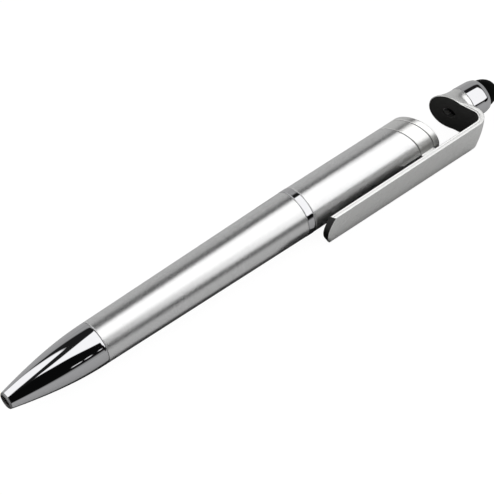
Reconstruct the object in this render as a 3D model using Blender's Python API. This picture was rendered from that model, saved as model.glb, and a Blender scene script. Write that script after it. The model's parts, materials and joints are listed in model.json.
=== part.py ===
"""Twist ballpoint pen with a phone-stand clip and a stylus end.

The pen is drawn about its own axis: x runs from the nose to the stylus, the clip is on the -y side and
z is across the clip. The empty pen_axis then lays it on the ground plane. Lengths are in metres.
"""
import math

import bmesh
import bpy
from mathutils import Vector

MM = 0.001

# Clearances
GAP = 0.3 * MM            # between pieces that seat on or slide in one another
PAD_GAP = 0.15 * MM       # glue line under the pad
FUSE = 0.5 * MM           # how far shapes of one piece run into each other
SKIN = 0.02 * MM          # keeps joined faces from lying in one plane

# Lengths along the axis
NOSE_LENGTH = 25.0 * MM
LOWER_BARREL_LENGTH = 59.0 * MM
RING_LENGTH = 2.1 * MM
UPPER_BARREL_LENGTH = 31.8 * MM     # on the axis, up to the slanted joint
COLLAR_LENGTH = 4.3 * MM
CAP_LENGTH = 1.85 * MM
SLOT_LENGTH = 11.0 * MM             # from the cap to the pad, on the axis
NECK_LENGTH = 4.6 * MM
FERRULE_LENGTH = 5.6 * MM
TIP_LENGTH = 4.7 * MM

# Outside radii
NOSE_TIP_RADIUS = 2.05 * MM
JOINT_RADIUS = 5.44 * MM
RING_RADIUS = 6.25 * MM
BARREL_MID_RADIUS = 6.2 * MM
BARREL_END_RADIUS = 6.12 * MM
HEAD_RADIUS = 5.3 * MM
NECK_RADIUS = 4.2 * MM
FERRULE_RADIUS = 4.5 * MM
FERRULE_END_RADIUS = 4.1 * MM
TIP_RADIUS = 3.95 * MM
EDGE_BREAK = 0.2 * MM

# Slanted phone slot, degrees from square to the axis
COLLAR_TILT = 22.5
HEAD_TILT = 20.0

# Shells
NOSE_MOUTH_RADIUS = 1.45 * MM
NOSE_BORE_RADIUS = 2.6 * MM
SPRING_SEAT_DEPTH = 8.0 * MM        # from the nose's front to the spring's seat
NOSE_SPIGOT_LENGTH = 6.0 * MM
LOWER_BORE_RADIUS = 4.4 * MM
UPPER_BORE_RADIUS = 5.2 * MM

# Clip
CLIP_WIDTH = 10.4 * MM
CLIP_THICKNESS = 1.2 * MM
CLIP_STAND_OFF = 2.15 * MM          # clear space between the barrel and the clip
CLIP_START = 3.2 * MM               # from the centre ring's rear edge to the clip's free end
CLIP_END_CURVE = 1.2 * MM           # how far the free end bows out
NUB_RADIUS = 1.8 * MM
NUB_HEIGHT = 1.1 * MM
ARM_THICKNESS = 1.4 * MM
BEND_OUTER_RADIUS = 3.0 * MM
BEND_INNER_RADIUS = 1.5 * MM
WEB_THICKNESS = 2.3 * MM
WEB_FOOT_LENGTH = 2.5 * MM          # how far the rib runs on below the collar
COLLAR_BORE_RADIUS = 3.9 * MM
CAP_PLUG_LENGTH = 5.5 * MM
PAD_THICKNESS = 0.4 * MM
PAD_HOLE_RADIUS = 1.6 * MM

# Stylus
SCREW_HEAD_RADIUS = 1.3 * MM
SCREW_HEAD_LENGTH = 0.9 * MM
SCREW_RADIUS = 0.8 * MM
SCREW_SINK = 1.2 * MM               # from the head's face to the screw head
SCREW_GRIP = 2.6 * MM               # screw length inside the ferrule
TIP_PLUG_RADIUS = 2.9 * MM
TIP_PLUG_LENGTH = 2.0 * MM

# Twist mechanism
STROKE = 5.0 * MM
TWIST = math.pi
BUSH_GRIP = 9.0 * MM                # bush length inside the lower barrel
BEARING_LENGTH = 3.5 * MM           # bush length inside the upper barrel
GUIDE_OUTER_RADIUS = 3.1 * MM
GUIDE_WALL = 0.7 * MM
CAM_WALL = 0.6 * MM
CAM_LENGTH = 20.0 * MM
COLLAR_RING_LENGTH = 1.7 * MM
GUIDE_TAIL = 0.8 * MM
PIN_RADIUS = 0.6 * MM
PIN_FROM_CAM_END = 5.0 * MM         # pin at rest, from the cam's rear end
PLUNGER_FRONT = 6.5 * MM            # from the pin forward to the refill's end
PLUNGER_REAR = 3.0 * MM
PLUNGER_NOSE_RADIUS = 0.7 * MM
PLUNGER_NOSE_LENGTH = 3.0 * MM
SLEEVE_INSET = 1.0 * MM             # at each end of the cam

# Refill and spring
REFILL_SETBACK = 1.5 * MM           # ball behind the nose's front when retracted
BALL_RADIUS = 0.4 * MM
POINT_RADIUS = 0.55 * MM
POINT_LENGTH = 3.2 * MM
NEEDLE_RADIUS = 1.15 * MM
TUBE_RADIUS = 1.5 * MM
TUBE_BORE_RADIUS = 1.05 * MM
TUBE_RELIEF = 0.5 * MM              # tube's front short of the spring seat when extended
TIP_TANG_LENGTH = 4.0 * MM
INK_END_SPACE = 9.0 * MM
EAR_RADIUS = 2.1 * MM
EAR_LENGTH = 1.2 * MM
SPRING_LENGTH = 18.0 * MM
SPRING_TURNS = 9
WIRE_RADIUS = 0.2 * MM
SPRING_RADIUS = 1.95 * MM

ROUND = 48
SMALL_ROUND = 24

# Places along the axis, worked out from the sizes above
JOINT_X = NOSE_LENGTH
RING_X = JOINT_X + LOWER_BARREL_LENGTH
UPPER_X = RING_X + RING_LENGTH
COLLAR_X = UPPER_X + UPPER_BARREL_LENGTH
CAP_X = COLLAR_X + COLLAR_LENGTH
SLOT_X = CAP_X + CAP_LENGTH
PAD_X = SLOT_X + SLOT_LENGTH
HEAD_X = PAD_X + PAD_THICKNESS + PAD_GAP
NECK_X = HEAD_X + NECK_LENGTH
TIP_X = NECK_X + FERRULE_LENGTH
PEN_LENGTH = TIP_X + TIP_LENGTH

COLLAR_SLOPE = math.tan(math.radians(COLLAR_TILT))
HEAD_SLOPE = math.tan(math.radians(HEAD_TILT))
CLIP_INNER_Y = -(BARREL_MID_RADIUS + CLIP_STAND_OFF)
CLIP_OUTER_Y = CLIP_INNER_Y - CLIP_THICKNESS
CLIP_X = UPPER_X + CLIP_START

BEARING_END_X = UPPER_X + GAP / 2 + BEARING_LENGTH
CAM_X = BEARING_END_X + GAP
CAM_END_X = CAM_X + CAM_LENGTH
CAM_INNER_RADIUS = GUIDE_OUTER_RADIUS + GAP
CAM_OUTER_RADIUS = CAM_INNER_RADIUS + CAM_WALL
GUIDE_X = RING_X - BUSH_GRIP
GUIDE_END_X = CAM_END_X + GAP + COLLAR_RING_LENGTH + GUIDE_TAIL
GUIDE_INNER_RADIUS = GUIDE_OUTER_RADIUS - GUIDE_WALL
PIN_X = CAM_END_X - PIN_FROM_CAM_END
SLOT_HALF_WIDTH = PIN_RADIUS + GAP
PLUNGER_RADIUS = GUIDE_INNER_RADIUS - GAP
PLUNGER_X = PIN_X - PLUNGER_FRONT
TUBE_END_X = PLUNGER_X - GAP
TUBE_X = SPRING_SEAT_DEPTH + STROKE + TUBE_RELIEF
SPRING_X = SPRING_SEAT_DEPTH + GAP
EAR_X = SPRING_X + SPRING_LENGTH + GAP


def clear_scene():
    for item in list(bpy.data.objects):
        bpy.data.objects.remove(item, do_unlink=True)


def material(name, colour, roughness, metallic):
    made = bpy.data.materials.new(name)
    made.use_nodes = True
    shader = made.node_tree.nodes["Principled BSDF"]
    shader.inputs["Base Color"].default_value = (*colour, 1.0)
    shader.inputs["Roughness"].default_value = roughness
    shader.inputs["Metallic"].default_value = metallic
    made.diffuse_color = (*colour, 1.0)
    return made


def empty(name, parent=None):
    made = bpy.data.objects.new(name, None)
    made.empty_display_size = 5 * MM
    bpy.context.collection.objects.link(made)
    made.parent = parent
    return made


def object_from(name, mesh_builder, look, parent):
    """Turns a bmesh into a named object on the given parent, faces out and round faces smooth."""
    bmesh.ops.recalc_face_normals(mesh_builder, faces=mesh_builder.faces)
    mesh = bpy.data.meshes.new(name)
    mesh_builder.to_mesh(mesh)
    mesh_builder.free()
    mesh.shade_smooth()
    mesh.set_sharp_from_angle(angle=math.radians(30))
    made = bpy.data.objects.new(name, mesh)
    bpy.context.collection.objects.link(made)
    made.parent = parent
    if look:
        mesh.materials.append(look)
    return made


def turned_mesh(profile, sides):
    """Spins a profile of (x, radius) or (x, radius, slope) about the x axis.

    A slope shears that ring, x rising toward the clip, which makes the slanted ends. A profile that
    starts and ends at radius 0 is a solid; any other is a closed loop, a tube.
    """
    bm = bmesh.new()
    rings = []
    for point in profile:
        x, radius = point[0], point[1]
        slope = point[2] if len(point) > 2 else 0.0
        if radius == 0.0:
            rings.append([bm.verts.new((x, 0.0, 0.0))])
            continue
        ring = []
        for step in range(sides):
            angle = 2 * math.pi * step / sides
            y = radius * math.cos(angle)
            ring.append(bm.verts.new((x - y * slope, y, radius * math.sin(angle))))
        rings.append(ring)
    solid = len(rings[0]) == 1
    pairs = list(zip(rings, rings[1:]))
    if not solid:
        pairs.append((rings[-1], rings[0]))
    for first, second in pairs:
        for step in range(sides):
            nxt = (step + 1) % sides
            if len(first) == 1:
                bm.faces.new((first[0], second[step], second[nxt]))
            elif len(second) == 1:
                bm.faces.new((first[step], second[0], first[nxt]))
            else:
                bm.faces.new((first[step], second[step], second[nxt], first[nxt]))
    return bm


def turned(name, profile, look, parent, sides=ROUND):
    return object_from(name, turned_mesh(profile, sides), look, parent)


def tube(name, x0, x1, inner, outer, look, parent, sides=ROUND):
    return turned(name, [(x0, inner), (x0, outer), (x1, outer), (x1, inner)], look, parent, sides)


def prism(name, outline, axis, low, high, look, parent):
    """Extrudes a flat outline: (x, y) points along z, or (x, z) points along y."""
    bm = bmesh.new()
    if axis == "z":
        corners = [(a, b, low) for a, b in outline]
        travel = Vector((0, 0, high - low))
    else:
        corners = [(a, low, b) for a, b in outline]
        travel = Vector((0, high - low, 0))
    base = bm.faces.new([bm.verts.new(corner) for corner in corners])
    grown = bmesh.ops.extrude_face_region(bm, geom=[base])
    moved = [item for item in grown["geom"] if isinstance(item, bmesh.types.BMVert)]
    bmesh.ops.translate(bm, verts=moved, vec=travel)
    return object_from(name, bm, look, parent)


def box(name, low, high, look, parent):
    outline = [(low[0], low[1]), (high[0], low[1]), (high[0], high[1]), (low[0], high[1])]
    return prism(name, outline, "z", low[2], high[2], look, parent)


def combine(target, tool, operation):
    """Adds or cuts tool with an exact boolean; the tool stays only as a hidden wire guide."""
    cut = target.modifiers.new(f"{operation.lower()} {tool.name}", "BOOLEAN")
    cut.operation = operation
    cut.solver = "EXACT"
    cut.object = tool
    tool.hide_render = True
    tool.display_type = "WIRE"


def arc(centre, radius, start, end, steps):
    """Points of an arc, angles in degrees, both ends included."""
    points = []
    for step in range(steps + 1):
        angle = math.radians(start + (end - start) * step / steps)
        points.append((centre[0] + radius * math.cos(angle), centre[1] + radius * math.sin(angle)))
    return points


def barrel_radius(x):
    """The lower barrel's straight taper from the nose joint to the centre ring."""
    share = (x - JOINT_X) / (RING_X - JOINT_X)
    return JOINT_RADIUS + (BARREL_MID_RADIUS - JOINT_RADIUS) * share


def nose_radius(x):
    """The nose's ogive: a quarter sine from the tip to the joint."""
    share = x / NOSE_LENGTH
    return NOSE_TIP_RADIUS + (JOINT_RADIUS - NOSE_TIP_RADIUS) * math.sin(math.pi / 2 * share)


def nose_cone(look, parent):
    rear = JOINT_X - GAP / 2
    spigot = LOWER_BORE_RADIUS - GAP
    spigot_end = JOINT_X + NOSE_SPIGOT_LENGTH
    profile = [(0.0, NOSE_MOUTH_RADIUS + EDGE_BREAK), (0.0, NOSE_TIP_RADIUS - EDGE_BREAK)]
    steps = 10
    for step in range(steps + 1):
        x = EDGE_BREAK + (rear - EDGE_BREAK) * step / steps
        profile.append((x, nose_radius(x)))
    profile += [(rear, spigot), (spigot_end, spigot), (spigot_end, NOSE_BORE_RADIUS)]
    profile += [(SPRING_SEAT_DEPTH, NOSE_BORE_RADIUS), (SPRING_SEAT_DEPTH, NOSE_MOUTH_RADIUS)]
    profile += [(EDGE_BREAK, NOSE_MOUTH_RADIUS)]
    return turned("nose_cone", profile, look, parent)


def lower_barrel(look, parent):
    front = JOINT_X + GAP / 2
    rear = RING_X - GAP / 2
    profile = [(front, LOWER_BORE_RADIUS), (front, barrel_radius(front)), (rear, barrel_radius(rear)),
               (rear, LOWER_BORE_RADIUS)]
    return turned("lower_barrel", profile, look, parent)


def centre_ring(look, parent):
    return tube("centre_ring", RING_X + GAP / 2, UPPER_X - GAP / 2, LOWER_BORE_RADIUS, RING_RADIUS,
                look, parent)


def upper_barrel(look, parent):
    front = UPPER_X + GAP / 2
    rear = COLLAR_X - GAP / 2
    profile = [(front, UPPER_BORE_RADIUS), (front, BARREL_MID_RADIUS),
               (rear, BARREL_END_RADIUS, COLLAR_SLOPE), (rear, UPPER_BORE_RADIUS, COLLAR_SLOPE)]
    return turned("upper_barrel", profile, look, parent)


def threaded_bush(look, parent):
    """Gripped in the lower barrel; its wider rear end traps the ring and carries the upper barrel."""
    bearing = UPPER_BORE_RADIUS - GAP
    grip = LOWER_BORE_RADIUS - GAP
    shoulder = UPPER_X + GAP / 2
    bore = GUIDE_OUTER_RADIUS + GAP
    profile = [(GUIDE_X, bore), (GUIDE_X, grip), (shoulder, grip), (shoulder, bearing),
               (BEARING_END_X, bearing), (BEARING_END_X, bore)]
    return turned("threaded_bush", profile, look, parent)


def mechanism_guide(look, parent):
    """Tube with one straight slot, which keeps the pin from turning in the lower body."""
    made = tube("mechanism_guide", GUIDE_X, GUIDE_END_X, GUIDE_INNER_RADIUS, GUIDE_OUTER_RADIUS,
                look, parent)
    cutter = box("guide_slot_cutter",
                 (PIN_X - STROKE - SLOT_HALF_WIDTH, -SLOT_HALF_WIDTH, 0.0),
                 (PIN_X + SLOT_HALF_WIDTH, SLOT_HALF_WIDTH, GUIDE_OUTER_RADIUS + FUSE), None, parent)
    combine(made, cutter, "DIFFERENCE")
    return made


def helix_cutter(parent):
    """A bar along the pin's path through the cam: it turns from the pin's side as it runs forward."""
    bm = bmesh.new()
    inner = CAM_INNER_RADIUS - FUSE
    outer = CAM_OUTER_RADIUS + FUSE
    lead = STROKE / TWIST
    over = SLOT_HALF_WIDTH / CAM_INNER_RADIUS
    steps = 20
    rings = []
    for step in range(steps + 1):
        turn = -over + (TWIST + 2 * over) * step / steps
        x = PIN_X - lead * turn
        angle = math.pi / 2 + turn
        ring = []
        for side, radius in ((-1, inner), (1, inner), (1, outer), (-1, outer)):
            ring.append(bm.verts.new((x + side * SLOT_HALF_WIDTH, radius * math.cos(angle),
                                      radius * math.sin(angle))))
        rings.append(ring)
    for first, second in zip(rings, rings[1:]):
        for corner in range(4):
            nxt = (corner + 1) % 4
            bm.faces.new((first[corner], first[nxt], second[nxt], second[corner]))
    bm.faces.new(rings[0])
    bm.faces.new(rings[-1])
    return object_from("cam_slot_cutter", bm, None, parent)


def mechanism_cam(look, parent):
    made = tube("mechanism_cam", CAM_X, CAM_END_X, CAM_INNER_RADIUS, CAM_OUTER_RADIUS, look, parent)
    combine(made, helix_cutter(parent), "DIFFERENCE")
    return made


def cam_sleeve(look, parent):
    """Plastic sleeve that grips the cam inside the upper barrel."""
    return tube("cam_sleeve", CAM_X + SLEEVE_INSET, CAM_END_X - SLEEVE_INSET, CAM_OUTER_RADIUS + GAP,
                UPPER_BORE_RADIUS - GAP, look, parent)


def retaining_collar(look, parent):
    """Crimped on the guide's tail, it keeps the cam on the guide."""
    front = CAM_END_X + GAP
    return tube("retaining_collar", front, front + COLLAR_RING_LENGTH, GUIDE_OUTER_RADIUS + GAP,
                CAM_OUTER_RADIUS, look, parent)


def mechanism_plunger(look, parent):
    rear = PIN_X + PLUNGER_REAR
    nose = PLUNGER_X - PLUNGER_NOSE_LENGTH
    profile = [(nose, 0.0), (nose, PLUNGER_NOSE_RADIUS), (PLUNGER_X, PLUNGER_NOSE_RADIUS),
               (PLUNGER_X, PLUNGER_RADIUS), (rear, PLUNGER_RADIUS), (rear, 0.0)]
    made = turned("mechanism_plunger", profile, look, parent, SMALL_ROUND)
    hole = upright_pin("pin_hole_cutter", PIN_X, PIN_RADIUS + GAP, -PLUNGER_RADIUS / 3,
                       PLUNGER_RADIUS + FUSE, None, parent)
    combine(made, hole, "DIFFERENCE")
    return made


def upright_pin(name, x, radius, low, high, look, parent):
    """A round pin across the axis, along z."""
    outline = arc((x, 0.0), radius, 0, 345, 23)
    return prism(name, outline, "z", low, high, look, parent)


def plunger_pin(look, parent):
    """Stands in the plunger and reaches through the guide's slot into the cam's."""
    return upright_pin("plunger_pin", PIN_X, PIN_RADIUS, -PLUNGER_RADIUS / 3 + GAP,
                       CAM_OUTER_RADIUS - GAP / 2, look, parent)


def refill_ball(look, parent):
    steps = 8
    centre = REFILL_SETBACK + BALL_RADIUS
    profile = [(centre - BALL_RADIUS, 0.0)]
    for step in range(1, steps):
        angle = math.pi * step / steps
        profile.append((centre - BALL_RADIUS * math.cos(angle), BALL_RADIUS * math.sin(angle)))
    profile.append((centre + BALL_RADIUS, 0.0))
    return turned("refill_ball", profile, look, parent, 16)


def refill_tip(look, parent):
    """Metal point: a socket behind the ball, a cone, a straight shank and a tang in the tube."""
    front = REFILL_SETBACK + 2 * BALL_RADIUS + GAP / 2
    cone_end = front + POINT_LENGTH
    rear = TUBE_X - GAP
    tang = TUBE_BORE_RADIUS - GAP
    tang_end = TUBE_X + TIP_TANG_LENGTH
    profile = [(front, 0.0), (front, POINT_RADIUS), (cone_end, NEEDLE_RADIUS), (rear, NEEDLE_RADIUS),
               (rear, tang), (tang_end, tang), (tang_end, 0.0)]
    return turned("refill_tip", profile, look, parent, SMALL_ROUND)


def refill_tube(look, parent):
    """Plastic tube with a raised band, the seat for the spring's rear end."""
    profile = [(TUBE_X, TUBE_BORE_RADIUS), (TUBE_X, TUBE_RADIUS), (EAR_X, TUBE_RADIUS),
               (EAR_X, EAR_RADIUS), (EAR_X + EAR_LENGTH, EAR_RADIUS), (EAR_X + EAR_LENGTH, TUBE_RADIUS),
               (TUBE_END_X, TUBE_RADIUS), (TUBE_END_X, TUBE_BORE_RADIUS)]
    return turned("refill_tube", profile, look, parent, SMALL_ROUND)


def refill_ink(look, parent):
    front = TUBE_X + TIP_TANG_LENGTH + GAP
    rear = TUBE_END_X - INK_END_SPACE
    radius = TUBE_BORE_RADIUS - GAP / 2
    profile = [(front, 0.0), (front, radius), (rear, radius), (rear, 0.0)]
    return turned("refill_ink", profile, look, parent, SMALL_ROUND)


def return_spring(look, parent):
    """One wire from the nose's seat to the tube's band, with a flat turn at each end."""
    bm_points = []
    per_turn = 12
    flat = 1.0
    total = int(SPRING_TURNS * per_turn)
    usable = SPRING_LENGTH - 2 * WIRE_RADIUS
    end_rise = 2.6 * WIRE_RADIUS
    for step in range(total + 1):
        turn = step / per_turn
        if turn < flat:
            rise = end_rise * turn / flat
        elif turn > SPRING_TURNS - flat:
            rise = usable - end_rise * (SPRING_TURNS - turn) / flat
        else:
            share = (turn - flat) / (SPRING_TURNS - 2 * flat)
            rise = end_rise + (usable - 2 * end_rise) * share
        angle = 2 * math.pi * turn
        bm_points.append((SPRING_X + WIRE_RADIUS + rise, SPRING_RADIUS * math.cos(angle),
                          SPRING_RADIUS * math.sin(angle)))
    curve = bpy.data.curves.new("return_spring", "CURVE")
    curve.dimensions = "3D"
    curve.bevel_depth = WIRE_RADIUS
    curve.bevel_resolution = 1
    curve.use_fill_caps = True
    spline = curve.splines.new("POLY")
    spline.points.add(len(bm_points) - 1)
    for point, place in zip(spline.points, bm_points):
        point.co = (*place, 1.0)
    curve.materials.append(look)
    made = bpy.data.objects.new("return_spring", curve)
    bpy.context.collection.objects.link(made)
    made.parent = parent
    return made


def clip_outline():
    """Side view of the clip strip: straight bar, bend and slanted arm, as (x, y) points."""
    slant = math.radians(HEAD_TILT)
    face = HEAD_X + SKIN
    back = face + ARM_THICKNESS / math.cos(slant)
    inner_corner = face - CLIP_INNER_Y * HEAD_SLOPE
    outer_corner = back - CLIP_OUTER_Y * HEAD_SLOPE
    half = math.radians(90 - HEAD_TILT) / 2
    inner_centre = (inner_corner - BEND_INNER_RADIUS / math.tan(half), CLIP_INNER_Y + BEND_INNER_RADIUS)
    outer_centre = (outer_corner - BEND_OUTER_RADIUS / math.tan(half), CLIP_OUTER_Y + BEND_OUTER_RADIUS)
    points = [(CLIP_X - CLIP_END_CURVE, CLIP_OUTER_Y)]
    points += arc(outer_centre, BEND_OUTER_RADIUS, -90, HEAD_TILT, 10)
    points += [(back - FUSE * HEAD_SLOPE, FUSE), (face - FUSE * HEAD_SLOPE, FUSE)]
    points += arc(inner_centre, BEND_INNER_RADIUS, HEAD_TILT, -90, 7)
    points += [(CLIP_X - CLIP_END_CURVE, CLIP_INNER_Y)]
    return points


def clip_end_cutter(parent):
    """Trims the bar's free end to a shallow bow across its width."""
    half = CLIP_WIDTH / 2
    bow = (half * half + CLIP_END_CURVE * CLIP_END_CURVE) / (2 * CLIP_END_CURVE)
    centre = CLIP_X - CLIP_END_CURVE + bow
    reach = half + FUSE
    start = math.degrees(math.asin(min(reach / bow, 1.0)))
    bowed = arc((centre, 0.0), bow, 180 + start, 180 - start, 12)
    outline = [(CLIP_X - 3 * CLIP_END_CURVE, reach), (CLIP_X - 3 * CLIP_END_CURVE, -reach)] + bowed
    return prism("clip_end_cutter", outline, "y", CLIP_OUTER_Y - FUSE, CLIP_INNER_Y + FUSE, None, parent)


def clip_nub(parent):
    """Low round bump inside the bar's free end, which grips a pocket."""
    steps = 5
    spread = math.acos((NUB_RADIUS - NUB_HEIGHT - FUSE) / NUB_RADIUS)
    bm = bmesh.new()
    centre = Vector((CLIP_X + NUB_RADIUS, CLIP_INNER_Y + NUB_HEIGHT - NUB_RADIUS, 0.0))
    crown = bm.verts.new(centre + Vector((0, NUB_RADIUS, 0)))
    previous = None
    for step in range(1, steps + 1):
        lean = spread * step / steps
        ring = []
        for side in range(SMALL_ROUND):
            angle = 2 * math.pi * side / SMALL_ROUND
            ring.append(bm.verts.new(centre + NUB_RADIUS * Vector((
                math.sin(lean) * math.cos(angle), math.cos(lean), math.sin(lean) * math.sin(angle)))))
        for side in range(SMALL_ROUND):
            nxt = (side + 1) % SMALL_ROUND
            if previous is None:
                bm.faces.new((crown, ring[side], ring[nxt]))
            else:
                bm.faces.new((previous[side], ring[side], ring[nxt], previous[nxt]))
        previous = ring
    bm.faces.new(previous)
    return object_from("clip_nub_tool", bm, None, parent)


def clip_web(parent):
    """Rib between the bar and the collar, clear of the barrel below and the cap above."""
    side_radius = BARREL_MID_RADIUS
    low_x = COLLAR_X + side_radius * COLLAR_SLOPE - WEB_FOOT_LENGTH
    high_x = SLOT_X + side_radius * COLLAR_SLOPE
    return box("clip_web_tool", (low_x, CLIP_INNER_Y - FUSE, -WEB_THICKNESS / 2),
               (high_x, -(side_radius + GAP), WEB_THICKNESS / 2), None, parent)


def collar_link(parent):
    """Short slanted block that ties the collar to the rib."""
    radius = BARREL_END_RADIUS
    near = -(radius - FUSE)
    far = -(BARREL_MID_RADIUS + GAP + FUSE)
    low = COLLAR_X + GAP / 2 + SKIN
    high = CAP_X - GAP / 2 - SKIN
    outline = [(low - near * COLLAR_SLOPE, near), (high - near * COLLAR_SLOPE, near),
               (high - far * COLLAR_SLOPE, far), (low - far * COLLAR_SLOPE, far)]
    half = WEB_THICKNESS / 2 - SKIN
    return prism("collar_link_tool", outline, "z", -half, half, None, parent)


def clip_neck(parent):
    """Flared neck from the slanted head down to the ferrule's round seat."""
    profile = [(HEAD_X, 0.0)]
    steps = 6
    for step in range(steps + 1):
        share = step / steps
        radius = NECK_RADIUS + (HEAD_RADIUS - NECK_RADIUS) * (1 - share) ** 1.2
        profile.append((HEAD_X + NECK_LENGTH * share - GAP / 2 * share, radius, HEAD_SLOPE * (1 - share)))
    profile.append((NECK_X - GAP / 2, 0.0))
    return turned("clip_neck_tool", profile, None, parent)


def screw_way_cutter(parent):
    """Counterbore for the screw head and a clearance hole on through the neck."""
    floor = HEAD_X + SCREW_SINK + SCREW_HEAD_LENGTH + GAP
    wide = PAD_HOLE_RADIUS
    narrow = SCREW_RADIUS + GAP
    front = HEAD_X - wide * HEAD_SLOPE - FUSE
    profile = [(front, 0.0), (front, wide), (floor, wide), (floor, narrow), (NECK_X + FUSE, narrow),
               (NECK_X + FUSE, 0.0)]
    return turned("screw_way_cutter", profile, None, parent, SMALL_ROUND)


def phone_clip(look, parent):
    """Collar, rib, bar, arm and neck: one moulded piece."""
    half = CLIP_WIDTH / 2
    made = prism("phone_clip", clip_outline(), "z", -half, half, look, parent)
    combine(made, clip_end_cutter(parent), "DIFFERENCE")
    combine(made, clip_nub(parent), "UNION")
    combine(made, clip_web(parent), "UNION")
    combine(made, collar_link(parent), "UNION")
    low = COLLAR_X + GAP / 2
    high = CAP_X - GAP / 2
    spigot = UPPER_BORE_RADIUS - GAP
    spigot_end = GUIDE_END_X + GAP
    collar = turned("collar_tool", [
        (spigot_end, COLLAR_BORE_RADIUS), (spigot_end, spigot), (low, spigot, COLLAR_SLOPE),
        (low, BARREL_END_RADIUS, COLLAR_SLOPE), (high, BARREL_END_RADIUS, COLLAR_SLOPE),
        (high, COLLAR_BORE_RADIUS, COLLAR_SLOPE)], None, parent)
    combine(made, collar, "UNION")
    combine(made, clip_neck(parent), "UNION")
    combine(made, screw_way_cutter(parent), "DIFFERENCE")
    return made


def end_cap(look, parent):
    """Slanted cap with a plug in the collar; its flat face is the slot's floor."""
    low = CAP_X + GAP / 2
    plug = COLLAR_BORE_RADIUS - GAP
    plug_end = CAP_X - CAP_PLUG_LENGTH
    profile = [(plug_end, 0.0), (plug_end, plug), (low, plug, COLLAR_SLOPE),
               (low, BARREL_END_RADIUS, COLLAR_SLOPE), (SLOT_X - EDGE_BREAK, BARREL_END_RADIUS, COLLAR_SLOPE),
               (SLOT_X, BARREL_END_RADIUS - EDGE_BREAK, COLLAR_SLOPE), (SLOT_X, 0.0)]
    return turned("end_cap", profile, look, parent)


def head_pad(look, parent):
    """Thin rubber sheet under the head: round at its free end, square toward the bend."""
    half = CLIP_WIDTH / 2 - PAD_GAP
    square_end = CLIP_INNER_Y + BEND_INNER_RADIUS
    outline = [(square_end, -half)]
    for y, z in arc((0.0, 0.0), half, -90, 90, 16):
        outline.append((y, z))
    outline.append((square_end, half))
    bm = bmesh.new()
    near = [bm.verts.new((PAD_X - y * HEAD_SLOPE, y, z)) for y, z in outline]
    far = [bm.verts.new((PAD_X + PAD_THICKNESS - y * HEAD_SLOPE, y, z)) for y, z in outline]
    bm.faces.new(near)
    bm.faces.new(far)
    for index in range(len(outline)):
        nxt = (index + 1) % len(outline)
        bm.faces.new((near[index], near[nxt], far[nxt], far[index]))
    made = object_from("head_pad", bm, look, parent)
    spread = PAD_HOLE_RADIUS * HEAD_SLOPE + FUSE
    cutter = turned("pad_hole_cutter", [
        (PAD_X - spread, 0.0), (PAD_X - spread, PAD_HOLE_RADIUS),
        (HEAD_X + spread, PAD_HOLE_RADIUS), (HEAD_X + spread, 0.0)], None, parent, SMALL_ROUND)
    combine(made, cutter, "DIFFERENCE")
    return made


def stylus_screw(look, parent):
    """Holds the ferrule on the neck from inside the head."""
    front = HEAD_X + SCREW_SINK
    shoulder = front + SCREW_HEAD_LENGTH
    rear = NECK_X + SCREW_GRIP
    profile = [(front, 0.0), (front, SCREW_HEAD_RADIUS), (shoulder, SCREW_HEAD_RADIUS),
               (shoulder, SCREW_RADIUS), (rear, SCREW_RADIUS), (rear, 0.0)]
    return turned("stylus_screw", profile, look, parent, SMALL_ROUND)


def stylus_ferrule(look, parent):
    front = NECK_X + GAP / 2
    rear = TIP_X - GAP / 2
    bore = SCREW_RADIUS + GAP
    blind = NECK_X + SCREW_GRIP + GAP
    seat = TIP_X - TIP_PLUG_LENGTH
    seat_radius = TIP_PLUG_RADIUS + GAP
    profile = [(front, bore)]
    steps = 8
    for step in range(steps + 1):
        share = step / steps
        base = NECK_RADIUS + (FERRULE_END_RADIUS - NECK_RADIUS) * share
        swell = FERRULE_RADIUS - (NECK_RADIUS + FERRULE_END_RADIUS) / 2
        profile.append((front + (rear - front) * share, base + swell * math.sin(math.pi * share)))
    profile += [(rear, seat_radius), (max(seat, blind), seat_radius), (max(seat, blind), bore)]
    return turned("stylus_ferrule", profile, look, parent)


def stylus_tip(look, parent):
    """Soft rubber dome with a plug in the ferrule."""
    blind = NECK_X + SCREW_GRIP + GAP
    seat = max(TIP_X - TIP_PLUG_LENGTH, blind) + GAP
    front = TIP_X + GAP / 2
    profile = [(seat, 0.0), (seat, TIP_PLUG_RADIUS), (front, TIP_PLUG_RADIUS), (front, TIP_RADIUS)]
    steps = 9
    for step in range(1, steps + 1):
        angle = math.pi / 2 * step / steps
        x = front + (PEN_LENGTH - front) * math.sin(angle)
        radius = TIP_RADIUS * math.cos(angle) if step < steps else 0.0
        profile.append((x, radius))
    return turned("stylus_tip", profile, look, parent)


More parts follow.
